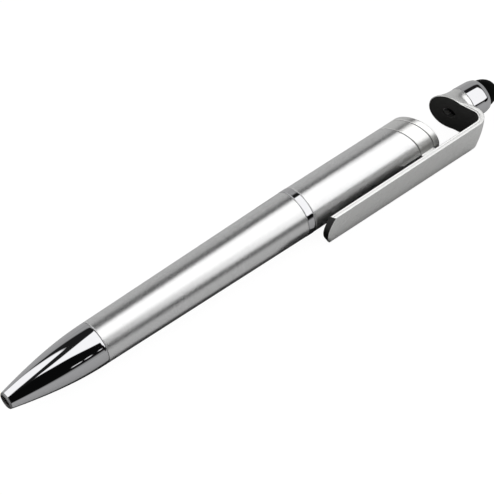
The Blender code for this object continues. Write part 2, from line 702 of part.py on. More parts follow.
def main():
    clear_scene()
    satin = material("satin_silver", (0.62, 0.62, 0.61), 0.38, 0.9)
    chrome = material("chrome", (0.78, 0.78, 0.78), 0.06, 1.0)
    rubber = material("black_rubber", (0.012, 0.012, 0.012), 0.6, 0.0)
    brass = material("brass", (0.72, 0.53, 0.22), 0.3, 1.0)
    steel = material("steel", (0.6, 0.6, 0.6), 0.25, 1.0)
    plastic = material("white_plastic", (0.75, 0.75, 0.73), 0.45, 0.0)
    clear = material("refill_plastic", (0.8, 0.82, 0.82), 0.3, 0.0)
    ink = material("blue_ink", (0.01, 0.03, 0.3), 0.3, 0.0)

    widest = max(RING_RADIUS, BARREL_MID_RADIUS)
    axis = empty("pen_axis")
    axis.location = (-PEN_LENGTH / 2, -(widest + CLIP_OUTER_Y) / 2, widest)
    upper = empty("upper_body_axis", axis)
    lower = empty("lower_body_axis", axis)
    refill = empty("refill_axis", lower)

    upper_barrel(satin, upper)
    phone_clip(satin, upper)
    end_cap(satin, upper)
    head_pad(rubber, upper)
    stylus_screw(steel, upper)
    stylus_ferrule(chrome, upper)
    stylus_tip(rubber, upper)
    mechanism_cam(brass, upper)
    cam_sleeve(plastic, upper)

    nose_cone(chrome, lower)
    lower_barrel(satin, lower)
    centre_ring(chrome, lower)
    threaded_bush(brass, lower)
    mechanism_guide(plastic, lower)
    retaining_collar(brass, lower)
    return_spring(steel, lower)

    mechanism_plunger(plastic, refill)
    plunger_pin(steel, refill)
    refill_tube(clear, refill)
    refill_ink(ink, refill)
    refill_tip(brass, refill)
    refill_ball(steel, refill)


main()
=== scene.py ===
"""Twist pen with a phone-stand clip and a stylus end: its finished look, built on the packed frame.

The pen lies along X with its nose at the low end and its clip on the low-Y side. Points on it are given
as (along, across, up): along from the nose's front, across and up from the pen's axis.
"""
import json
import math

import bmesh
import bpy
from bpy.props import FloatProperty, FloatVectorProperty, IntProperty, PointerProperty
from mathutils import Matrix, Vector


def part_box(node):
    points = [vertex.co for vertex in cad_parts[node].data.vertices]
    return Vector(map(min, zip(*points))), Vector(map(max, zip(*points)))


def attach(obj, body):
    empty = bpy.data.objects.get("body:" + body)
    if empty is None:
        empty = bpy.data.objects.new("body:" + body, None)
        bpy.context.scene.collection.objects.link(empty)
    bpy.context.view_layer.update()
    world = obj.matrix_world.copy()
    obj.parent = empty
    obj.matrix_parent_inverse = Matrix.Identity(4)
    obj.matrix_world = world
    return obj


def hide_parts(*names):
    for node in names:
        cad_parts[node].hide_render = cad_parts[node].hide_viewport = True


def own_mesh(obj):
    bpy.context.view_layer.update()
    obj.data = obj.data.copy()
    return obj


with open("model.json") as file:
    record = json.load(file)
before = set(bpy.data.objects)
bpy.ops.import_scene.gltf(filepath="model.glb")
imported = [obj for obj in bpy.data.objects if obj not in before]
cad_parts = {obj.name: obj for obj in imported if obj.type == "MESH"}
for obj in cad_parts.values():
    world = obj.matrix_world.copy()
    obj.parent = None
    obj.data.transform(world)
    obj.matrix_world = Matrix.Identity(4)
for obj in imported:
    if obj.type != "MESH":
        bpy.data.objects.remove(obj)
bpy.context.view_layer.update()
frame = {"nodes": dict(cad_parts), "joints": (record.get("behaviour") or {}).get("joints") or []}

bl_info = {
    "name": "Twist pen with phone stand",
    "version": (1, 0, 0),
    "blender": (4, 5, 0),
    "location": "3D View > Sidebar > Twist Pen",
    "description": "Builds a twist pen whose clip bends over as a phone stand and carries a stylus",
    "category": "Object",
}

MM = 0.001
CAD_GAP = 0.3 * MM  # between neighbouring solids
STRIP_EDGE = 0.11 * MM  # rounding of the clip strip's edges
PAD_EDGE = 0.05 * MM  # from that rounding to the recess that the pad lies in
DRILL_GAP = 0.06 * MM  # between the hole in the pad and the wider one in the head
BAR_REST = 0.4 * MM  # from the bar's last whole section to the high corner of its free end
PROFILE = ("station", "reach", "slant")
CAMERA_RIGHT = Vector((0.76926, -0.63370, 0.08157))
CAMERA_UP = Vector((0.50071, 0.67722, 0.53914))
TWIST = next(joint for joint in frame["joints"] if joint["name"] == "barrel_twist")
SLIDE = next(joint for joint in frame["joints"] if joint["name"] == "refill_slide")
NOSE_FRONT = Vector((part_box("nose_cone")[0].x, TWIST["pos_m"][1], TWIST["pos_m"][2]))


def along(node, end):
    """How far behind the nose's front a node starts (end 0) or stops (end 1)."""
    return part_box(node)[end].x - NOSE_FRONT.x


def length(name, text, default, low=0.0, high=0.2):
    return FloatProperty(name=name, description=text, default=default, min=low, max=high, precision=5,
                         subtype="DISTANCE", unit="LENGTH")


def tilt(name, text, degrees):
    return FloatProperty(name=name, description=text, default=math.radians(degrees), subtype="ANGLE",
                         unit="ROTATION")


def colour(name, text, default):
    return FloatVectorProperty(name=name, description=text, default=default, size=3, min=0.0, max=1.0,
                               subtype="COLOR")


def share(name, text, default):
    return FloatProperty(name=name, description=text, default=default, min=0.0, max=1.0, subtype="FACTOR")


class PenSizes(bpy.types.PropertyGroup):
    """Sizes of the pen's visible pieces."""
    joint: length("Nose joint", "Nose front to the joint with the barrel",
                  along("lower_barrel", 0) - CAD_GAP / 2)
    ring_front: length("Ring front", "Nose front to the centre ring", along("centre_ring", 0) - CAD_GAP / 2)
    ring_rear: length("Ring rear", "Nose front to the upper barrel", along("centre_ring", 1) + CAD_GAP / 2)
    collar_front: length("Collar front", "Nose front to the slanted hairline at the barrel's end", 0.11787)
    cap_front: length("Cap front", "Nose front to the slanted hairline under the cap", 0.12221)
    cap_face: length("Cap face", "Nose front to the slot's floor, on the axis", 0.12405)
    head_face: length("Head face", "Nose front to the padded face of the head, on the axis", 0.13558)
    neck_end: length("Neck end", "Nose front to the ferrule", 0.14005)
    ferrule_end: length("Ferrule end", "Nose front to the rubber tip", 0.14568)
    pen_end: length("Pen length", "Nose front to the end of the rubber tip", along("stylus_tip", 1))
    hairline: length("Hairline", "Width of the lines at the nose, the ring and the ferrule", 0.07 * MM,
                     0.0, MM)
    slanted_line: length("Slanted hairline", "Width of the dark lines beside the collar", 0.18 * MM, 0.0, MM)

    nose_radius: length("Nose tip radius", "Radius at the nose's front", 2.05 * MM)
    mouth_radius: length("Mouth radius", "Radius of the hole that the point comes through", 1.62 * MM)
    joint_radius: length("Joint radius", "Radius where nose and barrel meet", 5.44 * MM)
    barrel_radius: length("Barrel radius", "Radius beside the centre ring", 6.2 * MM)
    ring_radius: length("Ring radius", "Radius of the centre ring", 6.25 * MM)
    end_radius: length("End radius", "Radius of the collar and the cap", 6.12 * MM)
    head_radius: length("Head radius", "Radius of the head's round face", 5.62 * MM)
    neck_radius: length("Neck radius", "Radius where the neck meets the ferrule", 4.56 * MM)
    ferrule_radius: length("Ferrule radius", "Widest radius of the ferrule", 4.62 * MM)
    ferrule_mouth: length("Ferrule mouth", "Radius of the ferrule at the rubber", 4.22 * MM)
    tip_radius: length("Rubber radius", "Radius of the rubber tip at the ferrule", 3.72 * MM)
    nose_belly: FloatProperty(name="Nose belly", default=0.95, min=0.5, max=2.0,
                              description="Power of the nose's quarter sine; below 1 is fuller")

    slot_tilt: tilt("Slot tilt", "Slant of the barrel's end and the cap", 22.5)
    head_tilt: tilt("Head tilt", "Slant of the head that faces the cap", 20.0)
    stylus_lean: tilt("Stylus lean", "How far the stylus leans toward the clip's side", 2.0)

    clip_width: length("Clip width", "Width of the flat bar beside the bend", 10.66 * MM)
    clip_taper: length("Clip taper", "How much narrower the bar is at its free end", 0.54 * MM)
    clip_inner: length("Clip inner side", "Axis to the bar's inner face beside the bend", 8.32 * MM)
    clip_spring: length("Clip spring", "How much nearer the barrel the free end lies", 0.28 * MM)
    clip_thickness: length("Clip thickness", "Thickness of the bar", 1.2 * MM)
    arm_thickness: length("Arm thickness", "Thickness of the arm beside the bend", 1.38 * MM)
    clip_end: length("Clip free end", "Nose front to the high corner of the bar's free end", 89.1 * MM)
    clip_bow: length("Free end bow", "How far the free end bows out in the middle", 1.05 * MM)
    clip_skew: length("Free end skew", "How far the low corner reaches past the high one", 0.85 * MM)
    clip_bevel: length("Free end bevel", "How far the end's inner edge reaches past the outer one", 0.72 * MM)
    bend_inner: length("Bend inner radius", "Inside radius of the bend", 2.0 * MM)
    bend_outer: length("Bend outer radius", "Outside radius of the bend", 3.0 * MM)
    bend_crown: length("Bend crown", "How far the bend's outside bulges at half its width", 0.4 * MM)
    rib_width: length("Rib width", "Width of the rib between bar and collar", 2.3 * MM)
    rib_reach: length("Rib reach", "How far the rib reaches in front of the collar", 5.6 * MM)
    pad_hole: length("Pad hole radius", "Radius of the hole in the pad", 1.62 * MM)
    pad_depth: length("Pad recess", "Depth of the recess that the pad lies in", 0.22 * MM)

    coil_radius: length("Spring radius", "Radius of the return spring's coil", 1.95 * MM)
    wire_radius: length("Wire radius", "Radius of the spring's wire", 0.2 * MM)
    turns: IntProperty(name="Spring turns", description="Turns of the return spring", default=9,
                       min=3, max=40)
    sides: IntProperty(name="Sides", description="Facets round the larger turned pieces", default=160,
                       min=24, max=256)


class PenFinishes(bpy.types.PropertyGroup):
    """Colours and roughness of the pen's finishes."""
    satin: colour("Satin silver", "Colour of the barrels", (0.73, 0.73, 0.73))
    satin_roughness: share("Satin roughness", "How far the satin silver spreads a reflection", 0.27)
    lacquer: colour("Silver lacquer", "Colour of the cap and the clip", (0.79, 0.79, 0.778))
    lacquer_roughness: share("Lacquer roughness", "How far the silver lacquer spreads a reflection", 0.28)
    chrome: colour("Chrome", "Colour of the nose, ring and ferrule", (0.57, 0.57, 0.582))
    chrome_roughness: share("Chrome roughness", "How far the chrome spreads a reflection", 0.03)
    # Painted shade: the cut end's near-black colour stands in for the shade on the clip's free end.
    cut: colour("Cut end", "Colour of the cut face of the clip's free end", (0.045, 0.045, 0.044))
    # Painted shade: the lip's dark grey stands in for the shade round the nose's mouth.
    lip: colour("Shaded lip", "Colour of the nose's shaded lip", (0.22, 0.22, 0.22))
    # Painted shade: the bore's near-black stands in for the shade inside the nose's mouth.
    bore: colour("Nose bore", "Colour of the painted shade inside the nose", (0.035, 0.028, 0.027))
    screw: colour("Blackened steel", "Colour of the screw in the pad's hole", (0.001, 0.001, 0.001))
    rubber: colour("Stylus rubber", "Colour of the rubber tip", (0.0012, 0.0012, 0.0012))
    pad: colour("Pad rubber", "Colour of the pad under the head", (0.0145, 0.0145, 0.0138))
    brass: colour("Brass", "Colour of the turned brass pieces", (0.72, 0.53, 0.24))
    steel: colour("Steel", "Colour of the spring, pin and ball", (0.6, 0.6, 0.61))
    plastic: colour("White plastic", "Colour of the mechanism's plastic", (0.78, 0.78, 0.75))
    tube: colour("Refill tube", "Colour of the refill's tube", (0.75, 0.79, 0.8))
    ink: colour("Ink", "Colour of the ink", (0.008, 0.02, 0.22))


class PenStage(bpy.types.PropertyGroup):
    """The studio round the pen."""
    camera_place: FloatVectorProperty(name="Camera", description="Where the camera stands", size=3,
                                      default=(-0.186251, -0.168882, 0.387035), subtype="TRANSLATION",
                                      unit="LENGTH")
    focal_length: FloatProperty(name="Focal length", default=140.07, min=10.0, max=500.0,
                                description="Lens on a 36 mm wide sensor, in millimetres")
    softbox: FloatProperty(name="Softbox strength", description="Strength of the two overhead softboxes",
                           default=1.62, min=0.0, max=10.0)
    surround: share("Wall grey", "Brightness of the walls in the metal", 0.5)
    table: share("Table grey", "Brightness of the table in the metal", 0.54)
    backdrop: colour("Backdrop", "Colour of the floor and the background", (1.0, 1.0, 1.0))
    shadow: share("Shadow", "How much of the floor's light the pen can shade", 0.1)


# Node trees

class Wire:
    """A socket in a node tree; an expression written with it adds Math nodes."""

    def __init__(self, tree, socket):
        self.tree = tree
        self.socket = socket

    def __add__(self, other):
        return self.tree.maths("ADD", self, other)

    __radd__ = __add__

    def __sub__(self, other):
        return self.tree.maths("SUBTRACT", self, other)

    def __rsub__(self, other):
        return self.tree.maths("SUBTRACT", other, self)

    def __mul__(self, other):
        return self.tree.maths("MULTIPLY", self, other)

    __rmul__ = __mul__

    def __truediv__(self, other):
        return self.tree.maths("DIVIDE", self, other)

    def __neg__(self):
        return self * -1.0

    def __abs__(self):
        return self.tree.maths("ABSOLUTE", self)

    def at_least(self, other):
        return self.tree.maths("MAXIMUM", self, other)

    def step(self, softness):
        """0 where this is below nothing and 1 above it, over a band as wide as softness."""
        return self.tree.maths("ADD", self / softness, 0.5, clamp=True)


class Tree:
    """Adds nodes to a shader or geometry tree."""

    def __init__(self, made):
        self.made = made

    def node(self, kind, settings=None, inputs=None, output=0):
        """Adds a node, with its settings and the values or wires of its inputs; returns one output's wire."""
        made = self.made.nodes.new(kind)
        for name, value in (settings or {}).items():
            if name == "points":
                line = made.mapping.curves[0]
                while len(line.points) < len(value):
                    line.points.new(0.5, 0.5)
                for point, place in zip(line.points, value):
                    point.location = place
                    point.handle_type = "VECTOR"
                made.mapping.update()
            else:
                setattr(made, name, value)
        for name, value in (inputs or {}).items():
            self.feed(made.inputs[name], value)
        return Wire(self, made.outputs[output])

    def maths(self, operation, *terms, clamp=False):
        settings = {"operation": operation, "use_clamp": clamp}
        return self.node("ShaderNodeMath", settings, dict(enumerate(terms)))

    def feed(self, socket, value):
        if isinstance(value, Wire):
            self.made.links.new(value.socket, socket)
        elif hasattr(value, "__len__") and socket.type == "RGBA" and len(value) == 3:
            socket.default_value = (*value, 1.0)
        else:
            socket.default_value = value

    def end(self, kind, wire):
        """Adds the node that a tree ends in and feeds its first input."""
        self.feed(self.made.nodes.new(kind).inputs[0], wire)


def mixed(tree, factor, first, second):
    return tree.node("ShaderNodeMix", {"data_type": "RGBA"}, {0: factor, 6: first, 7: second}, output=2)


# Finishes

class Finish:
    """A material on the Principled shader whose roughness, colour and relief can follow some grain."""

    def __init__(self, name, base, metallic, roughness, **constants):
        self.base = tuple(base)
        self.material = bpy.data.materials.new(name)
        self.material.use_nodes = True
        self.material.diffuse_color = (*self.base, 1.0)
        self.tree = Tree(self.material.node_tree)
        self.inputs = self.material.node_tree.nodes["Principled BSDF"].inputs
        self.feed(Base_Color=self.base, Metallic=metallic, Roughness=roughness, **constants)

    def feed(self, **values):
        """Sets or links the shader's inputs, with an underscore for each space in their names."""
        for name, value in values.items():
            self.tree.feed(self.inputs[name.replace("_", " ")], value)

    def grain(self, scale, detail, stretch=(1.0, 1.0, 1.0), seed=(0.0, 0.0, 0.0)):
        """Noise from 0 to 1 in the pen's own space, scale in features per metre."""
        place = self.tree.node("ShaderNodeTexCoord", output="Object")
        place = self.tree.node("ShaderNodeMapping", {}, {"Vector": place, "Scale": stretch, "Location": seed})
        return self.tree.node("ShaderNodeTexNoise", {}, {"Vector": place, "Scale": scale, "Detail": detail},
                              output="Fac")

    def vary(self, roughness, tint, shades, height=None, depth=0.0):
        """Roughness follows a wire, colour a tint between two shades of the base, and relief a height."""
        low, high = (tuple(shade * part for part in self.base) for shade in shades)
        self.feed(Roughness=roughness, Base_Color=mixed(self.tree, tint, low, high))
        if height is not None:
            relief = {"Height": height, "Distance": depth, "Strength": 1.0}
            self.feed(Normal=self.tree.node("ShaderNodeBump", {}, relief))
        return self.material


def satin_silver(name, base, metallic, roughness):
    """Silver lacquer over a bead-blasted ground: fine grain, and a slow drift in how it spreads light."""
    finish = Finish(name, base, metallic, roughness)
    fine = finish.grain(11000.0, 2.0)
    slow = finish.grain(260.0, 3.0, seed=(3.0, 1.0, 2.0))
    spread = roughness + 0.05 * (fine - 0.5) + 0.03 * (slow - 0.5)
    return finish.vary(spread, fine, (0.965, 1.0), fine, 0.35e-6)


def mirror_chrome(name, base, roughness):
    """Chrome plate with a faint haze."""
    finish = Finish(name, base, 1.0, roughness)
    haze = finish.grain(900.0, 4.0)
    return finish.vary(roughness + 0.02 * (haze - 0.5), haze, (0.97, 1.0))


def soft_silicone(name, base):
    """Soft black silicone with the faint bloom that a moulded dome has."""
    finish = Finish(name, base, 0.0, 0.5, Specular_IOR_Level=0.03)
    bloom = finish.grain(1500.0, 4.0)
    return finish.vary(0.46 + 0.12 * bloom, bloom, (1.0, 1.5), finish.grain(9000.0, 2.0), 0.8e-6)


def foam_rubber(name, base):
    """Charcoal foam rubber with fine open grain."""
    finish = Finish(name, base, 0.0, 0.75, Specular_IOR_Level=0.25)
    cells = finish.grain(6000.0, 3.0)
    cloud = finish.grain(500.0, 2.0, seed=(5.0, 0.0, 1.0))
    return finish.vary(0.68 + 0.14 * cells, 0.5 * cells + 0.5 * cloud, (1.0, 1.6), cells, 3.0e-6)


def turned_metal(name, base, roughness, marks=1.0):
    """Metal with the fine rings that a lathe tool leaves round the axis."""
    finish = Finish(name, base, 1.0, roughness)
    rings = finish.grain(1.0, 2.0, stretch=(9000.0, 60.0, 60.0))
    tarnish = finish.grain(700.0, 4.0)
    spread = roughness + 0.12 * (rings - 0.5) + 0.08 * (tarnish - 0.5)
    return finish.vary(spread, tarnish, (0.82, 1.0), rings, marks * 1.0e-6)


def moulded_plastic(name, base, roughness, **constants):
    """Plastic with slow flow marks and a fine speck."""
    finish = Finish(name, base, 0.0, roughness, **constants)
    flow = finish.grain(350.0, 3.0, stretch=(0.3, 1.0, 1.0))
    speck = finish.grain(7000.0, 2.0)
    return finish.vary(roughness + 0.1 * (speck - 0.5), flow, (0.93, 1.0), speck, 1.0e-6)


def look(name):
    """The material of that name, made the first time it is asked for."""
    found = bpy.data.materials.get(name)
    if found:
        return found
    given = bpy.context.scene.pen_finishes
    makers = {
        "satin_metal": lambda: satin_silver(name, given.satin, 0.98, given.satin_roughness),
        "satin_lacquer": lambda: satin_silver(name, given.lacquer, 0.95, given.lacquer_roughness),
        # Painted shade on the clip's cut end.
        "end_painted_shade": lambda: satin_silver(name, given.cut, 0.95, 0.3),
        "mirror_chrome": lambda: mirror_chrome(name, given.chrome, given.chrome_roughness),
        # Painted shade on the nose's lip.
        "lip_painted_shade": lambda: turned_metal(name, given.lip, 0.5),
        # Painted shade in the nose's bore.
        "bore_painted_shade": lambda: turned_metal(name, given.bore, 0.55),
        "soft_silicone": lambda: soft_silicone(name, given.rubber),
        "foam_rubber": lambda: foam_rubber(name, given.pad),
        "blackened_steel": lambda: moulded_plastic(name, given.screw, 0.6, Specular_IOR_Level=0.01),
        "turned_brass": lambda: turned_metal(name, given.brass, 0.28),
        "drawn_steel": lambda: turned_metal(name, given.steel, 0.24, 0.5),
        "moulded_white": lambda: moulded_plastic(name, given.plastic, 0.42),
        "clear_tube": lambda: moulded_plastic(name, given.tube, 0.25, Coat_Weight=0.3),
        "ink_paste": lambda: moulded_plastic(name, given.ink, 0.2, Coat_Weight=0.5),
    }
    return makers[name]()


def dress(**finishes):
    """Gives CAD nodes their finishes."""
    for node, name in finishes.items():
        materials = frame["nodes"][node].data.materials
        materials.clear()
        materials.append(look(name))


# Shapes

def shares(count):
    """Even steps from 0 to 1, with both ends."""
    return [step / count for step in range(count + 1)]


def quarter_turn(count):
    """Even steps from 0 to a right angle, with both ends."""
    return [math.pi / 2 * part for part in shares(count)]


def through(stations, place):
    """A smooth curve through (place, value) stations, with no overshoot between them."""
    xs, ys = zip(*stations)
    if place <= xs[0]:
        return ys[0]
    if place >= xs[-1]:
        return ys[-1]
    slopes = [(ys[i + 1] - ys[i]) / (xs[i + 1] - xs[i]) for i in range(len(xs) - 1)]
    tangents = [slopes[0]]
    for before, after in zip(slopes, slopes[1:]):
        tangents.append(0.0 if before * after <= 0 else 2 * before * after / (before + after))
    tangents.append(slopes[-1])
    i = max(k for k in range(len(xs) - 1) if xs[k] <= place)
    span = xs[i + 1] - xs[i]
    t = (place - xs[i]) / span
    return ((2 * t ** 3 - 3 * t ** 2 + 1) * ys[i] + (t ** 3 - 2 * t ** 2 + t) * span * tangents[i]
            + (3 * t ** 2 - 2 * t ** 3) * ys[i + 1] + (t ** 3 - t ** 2) * span * tangents[i + 1])


def ease(value):
    """Smooth step from 0 to 1."""
    value = min(max(value, 0.0), 1.0)
    return value * value * (3 - 2 * value)


def rounded(corners, steps=4):
    """Rounds a profile. A corner is (along, radius), with its rounding and its slant if it has them.

    Every rounded corner also gets a point on each side, which keeps the shading of the long runs flat.
    """
    corners = [tuple(corner) + (0.0,) * (4 - len(corner)) for corner in corners]
    points = []
    for index, (x, radius, rounding, slant) in enumerate(corners):
        here = Vector((x, radius, slant))
        if rounding == 0.0:
            points.append(here)
            continue
        before = corners[index - 1]
        after = corners[(index + 1) % len(corners)]
        back = Vector((before[0], before[1], before[3])) - here
        ahead = Vector((after[0], after[1], after[3])) - here
        back_run = math.hypot(back.x, back.y)
        ahead_run = math.hypot(ahead.x, ahead.y)
        if back_run > 3 * rounding:
            points.append(here + back * (2 * rounding / back_run))
        start = here + back * min(rounding / back_run, 0.5)
        end = here + ahead * min(rounding / ahead_run, 0.5)
        for t in shares(steps):
            points.append(start * (1 - t) ** 2 + here * (2 * t * (1 - t)) + end * t ** 2)
        if ahead_run > 3 * rounding:
            points.append(here + ahead * (2 * rounding / ahead_run))
    return points


def tidy(builder):
    """Welds doubles, then turns the faces outwards."""
    bmesh.ops.remove_doubles(builder, verts=builder.verts, dist=2e-7)
    bmesh.ops.dissolve_degenerate(builder, edges=builder.edges, dist=1e-8)
    bmesh.ops.recalc_face_normals(builder, faces=builder.faces)
    if builder.calc_volume(signed=True) < 0:
        bmesh.ops.reverse_faces(builder, faces=builder.faces)


def bridge(builder, first, second):
    """Joins two closed rows of as many vertices with faces."""
    for index in range(len(first)):
        after = (index + 1) % len(first)
        builder.faces.new((first[index], first[after], second[after], second[index]))


def as_object(name, builder):
    """A new object in the scene with the builder's mesh."""
    mesh = bpy.data.meshes.new(name)
    builder.to_mesh(mesh)
    builder.free()
    made = bpy.data.objects.new(name, mesh)
    bpy.context.scene.collection.objects.link(made)
    return made


def smoothed(made, sharp=50):
    """Shades an object smooth, apart from edges that bend by more than the sharp angle in degrees."""
    made.data.shade_smooth()
    made.data.set_sharp_from_angle(angle=math.radians(sharp))
    return made


def piece(name, builder, finish, sharp=50):
    """An object from a mesh in the pen's own space, moved to where the frame's pen lies."""
    tidy(builder)
    bmesh.ops.translate(builder, verts=builder.verts, vec=NOSE_FRONT)
    made = smoothed(as_object(name, builder), sharp)
    made.data.materials.append(look(finish))
    return made


def settle(made, body, slot, *nodes):
    """Hands a finished piece to the frame."""
    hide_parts(*nodes)
    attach(made, body)


def keep_result(made, modifier):
    """Makes what a modifier shows the object's plain mesh."""
    bpy.context.view_layer.update()
    shape = made.evaluated_get(bpy.context.evaluated_depsgraph_get())
    mesh = bpy.data.meshes.new_from_object(shape)
    made.modifiers.remove(modifier)
    old = made.data
    made.data = mesh
    bpy.data.meshes.remove(old)
    mesh.name = made.name


def new_group(name, inputs):
    """A geometry tree with named inputs, given with their kinds; returns it and the inputs' wires."""
    made = bpy.data.node_groups.new(name, "GeometryNodeTree")
    made.interface.new_socket("Shape", in_out="OUTPUT", socket_type="NodeSocketGeometry")
    for label, kind in inputs.items():
        made.interface.new_socket(label, in_out="INPUT", socket_type="NodeSocket" + kind)
    tree = Tree(made)
    given = made.nodes.new("NodeGroupInput")
    return tree, [Wire(tree, given.outputs[index]) for index in range(len(inputs))]


def place_points(tree, shape, x, y, z, origin):
    """Moves the points of a shape to x, y and z from an origin."""
    place = tree.node("ShaderNodeCombineXYZ", {}, {"X": x, "Y": y, "Z": z})
    place = tree.node("ShaderNodeVectorMath", {"operation": "ADD"}, {0: place, 1: origin})
    return tree.node("GeometryNodeSetPosition", {}, {"Geometry": shape, "Position": place})


def end_group(tree, skin, material):
    """Ends a geometry tree with a solid skin and its material; returns the tree's node group."""
    skin = tree.node("GeometryNodeRealizeInstances", {}, {"Geometry": skin})
    skin = tree.node("GeometryNodeSetMaterial", {}, {"Geometry": skin, "Material": material})
    tree.end("NodeGroupOutput", skin)
    return tree.made


def bake_nodes(made, group, values):
    """Runs a geometry tree on an object with the given inputs and keeps the result, welded, as its mesh."""
    modifier = made.modifiers.new(group.name, "NODES")
    modifier.node_group = group
    for item in group.interface.items_tree:
        if item.in_out == "INPUT" and item.name in values:
            modifier[item.identifier] = values[item.name]
    keep_result(made, modifier)
    for attribute in PROFILE + ("turn",):
        if attribute in made.data.attributes:
            made.data.attributes.remove(made.data.attributes[attribute])
    bm = bmesh.new()
    bm.from_mesh(made.data)
    tidy(bm)
    bm.to_mesh(made.data)
    bm.free()


def turning_group():
    """Geometry nodes that turn a profile about the pen's axis.

    The profile's points carry station, reach and slant: how far back a ring lies, its radius and its shear
    toward the clip's side.
    """
    found = bpy.data.node_groups.get("turned_shell")
    if found:
        return found
    tree, (profile, sides, front, material) = new_group("turned_shell", {
        "Profile": "Geometry", "Sides": "Int", "Nose front": "Vector", "Finish": "Material"})
    outline = tree.node("GeometryNodeMeshToCurve", {}, {"Mesh": profile})
    hoop = tree.node("GeometryNodeCurvePrimitiveCircle", {}, {"Resolution": sides, "Radius": MM})
    turn = tree.node("GeometryNodeInputIndex") * (2 * math.pi) / sides
    hoop = tree.node("GeometryNodeStoreNamedAttribute", {"data_type": "FLOAT", "domain": "POINT"},
                     {"Geometry": hoop, "Name": "turn", "Value": turn})
    skin = tree.node("GeometryNodeCurveToMesh", {}, {"Curve": hoop, "Profile Curve": outline})
    station, reach, slant, angle = (
        tree.node("GeometryNodeInputNamedAttribute", {"data_type": "FLOAT"}, {"Name": name},
                  output="Attribute") for name in PROFILE + ("turn",))
    across = reach * tree.maths("COSINE", angle)
    up = reach * tree.maths("SINE", angle)
    skin = place_points(tree, skin, station - across * slant, across, up, front)
    skin = tree.node("GeometryNodeMergeByDistance", {}, {"Geometry": skin, "Distance": 2e-7})
    return end_group(tree, skin, material)


def turned(name, points, finish, sides, closed=True):
    """A turned piece from profile points (along, radius, and slant if any), through the turning nodes."""
    bm = bmesh.new()
    layers = [bm.verts.layers.float.new(key) for key in PROFILE]
    verts = [bm.verts.new((point[0], point[1], 0.0)) for point in points]
    for vert, point in zip(verts, points):
        for layer, value in zip(layers, point):
            vert[layer] = value
    for first, second in zip(verts, verts[1:]):
        bm.edges.new((first, second))
    if closed:
        bm.edges.new((verts[-1], verts[0]))
    made = as_object(name, bm)
    bake_nodes(made, turning_group(), {"Sides": sides, "Nose front": NOSE_FRONT, "Finish": look(finish)})
    return smoothed(made)


def lean_over(made, sizes):
    """Bends a piece of the stylus toward the clip's side, more the farther it stands from the head."""
    foot = NOSE_FRONT.x + sizes.head_face
    for vert in made.data.vertices:
        vert.co.y -= math.tan(sizes.stylus_lean) * max(vert.co.x - foot, 0.0)
    made.data.update()


def nose_curve(sizes, x):
    """Radius of the nose at x: a quarter sine from the tip to the joint."""
    rise = math.sin(math.pi / 2 * min(max(x / sizes.joint, 0.0), 1.0)) ** sizes.nose_belly
    return sizes.nose_radius + (sizes.joint_radius - sizes.nose_radius) * rise


class PEN_OT_nose(bpy.types.Operator):
    """Turn the chrome nose, its rubbed lip and its bare bore"""
    bl_idname = "pen.nose"
    bl_label = "Nose"

    def execute(self, context):
        sizes = context.scene.pen_sizes
        rear = sizes.joint - sizes.hairline / 2
        lip = 0.46 * MM
        seat = 8.0 * MM
        bore = 2.6 * MM
        spigot = 4.1 * MM
        spigot_end = sizes.joint + 6.0 * MM
        edge = 0.16 * MM
        lip_radius, rear_radius = nose_curve(sizes, lip), nose_curve(sizes, rear)
        shell = [(lip, sizes.mouth_radius), (lip, lip_radius)]
        for part in shares(48)[1:]:
            x = lip + (rear - 2 * edge - lip) * part
            shell.append((x, nose_curve(sizes, x)))
        for lean in quarter_turn(5)[1:]:
            shell.append((rear - edge + edge * math.sin(lean), rear_radius - edge + edge * math.cos(lean)))
        shell += rounded([(rear, spigot), (spigot_end, spigot), (spigot_end, bore), (seat, bore),
                          (seat, sizes.mouth_radius)])
        outside = sizes.mouth_radius - 0.01 * MM
        hole = outside - 0.05 * MM
        front_radius = 1.84 * MM
        bead = rounded([(lip, hole), (0.0, hole, 0.08 * MM), (0.0, front_radius, 0.1 * MM),
                        (0.2 * MM, lip_radius - 0.05 * MM, 0.15 * MM), (lip, lip_radius)])
        # The sleeve lines the mouth with a near-black bore: painted shade inside the hole.
        sleeve = [(lip, outside), (seat, outside), (seat, hole), (lip, hole)]
        for name, points, finish in (("nose_shell", shell, "mirror_chrome"),
                                     ("nose_lip", bead, "lip_painted_shade"), ("nose_bore", sleeve, "bore_painted_shade")):
            settle(turned(name, points, finish, sizes.sides), "lower_body", "chrome", "nose_cone")
        return {"FINISHED"}


class PEN_OT_barrels(bpy.types.Operator):
    """Turn the two satin barrels, the upper one with its slanted end"""
    bl_idname = "pen.barrels"
    bl_label = "Barrels"

    def execute(self, context):
        sizes = context.scene.pen_sizes
        gap = sizes.hairline / 2
        edge = 0.1 * MM
        front, rear, bore = sizes.joint + gap, sizes.ring_front - gap, 4.4 * MM
        lower = rounded([(front, bore), (front, sizes.joint_radius, edge), (rear, sizes.barrel_radius, edge),
                         (rear, bore)])
        made = turned("lower_barrel_shell", lower, "satin_metal", sizes.sides)
        settle(made, "lower_body", "barrel_silver", "lower_barrel")
        front, rear, bore = sizes.ring_rear + gap, sizes.collar_front - sizes.slanted_line / 2, 5.2 * MM
        slant = math.tan(sizes.slot_tilt)
        upper = rounded([(front, bore), (front, sizes.barrel_radius, edge),
                         (rear, sizes.end_radius, edge, slant), (rear, bore, 0.0, slant)])
        made = turned("upper_barrel_shell", upper, "satin_metal", sizes.sides)
        settle(made, "upper_body", "barrel_silver", "upper_barrel")
        return {"FINISHED"}


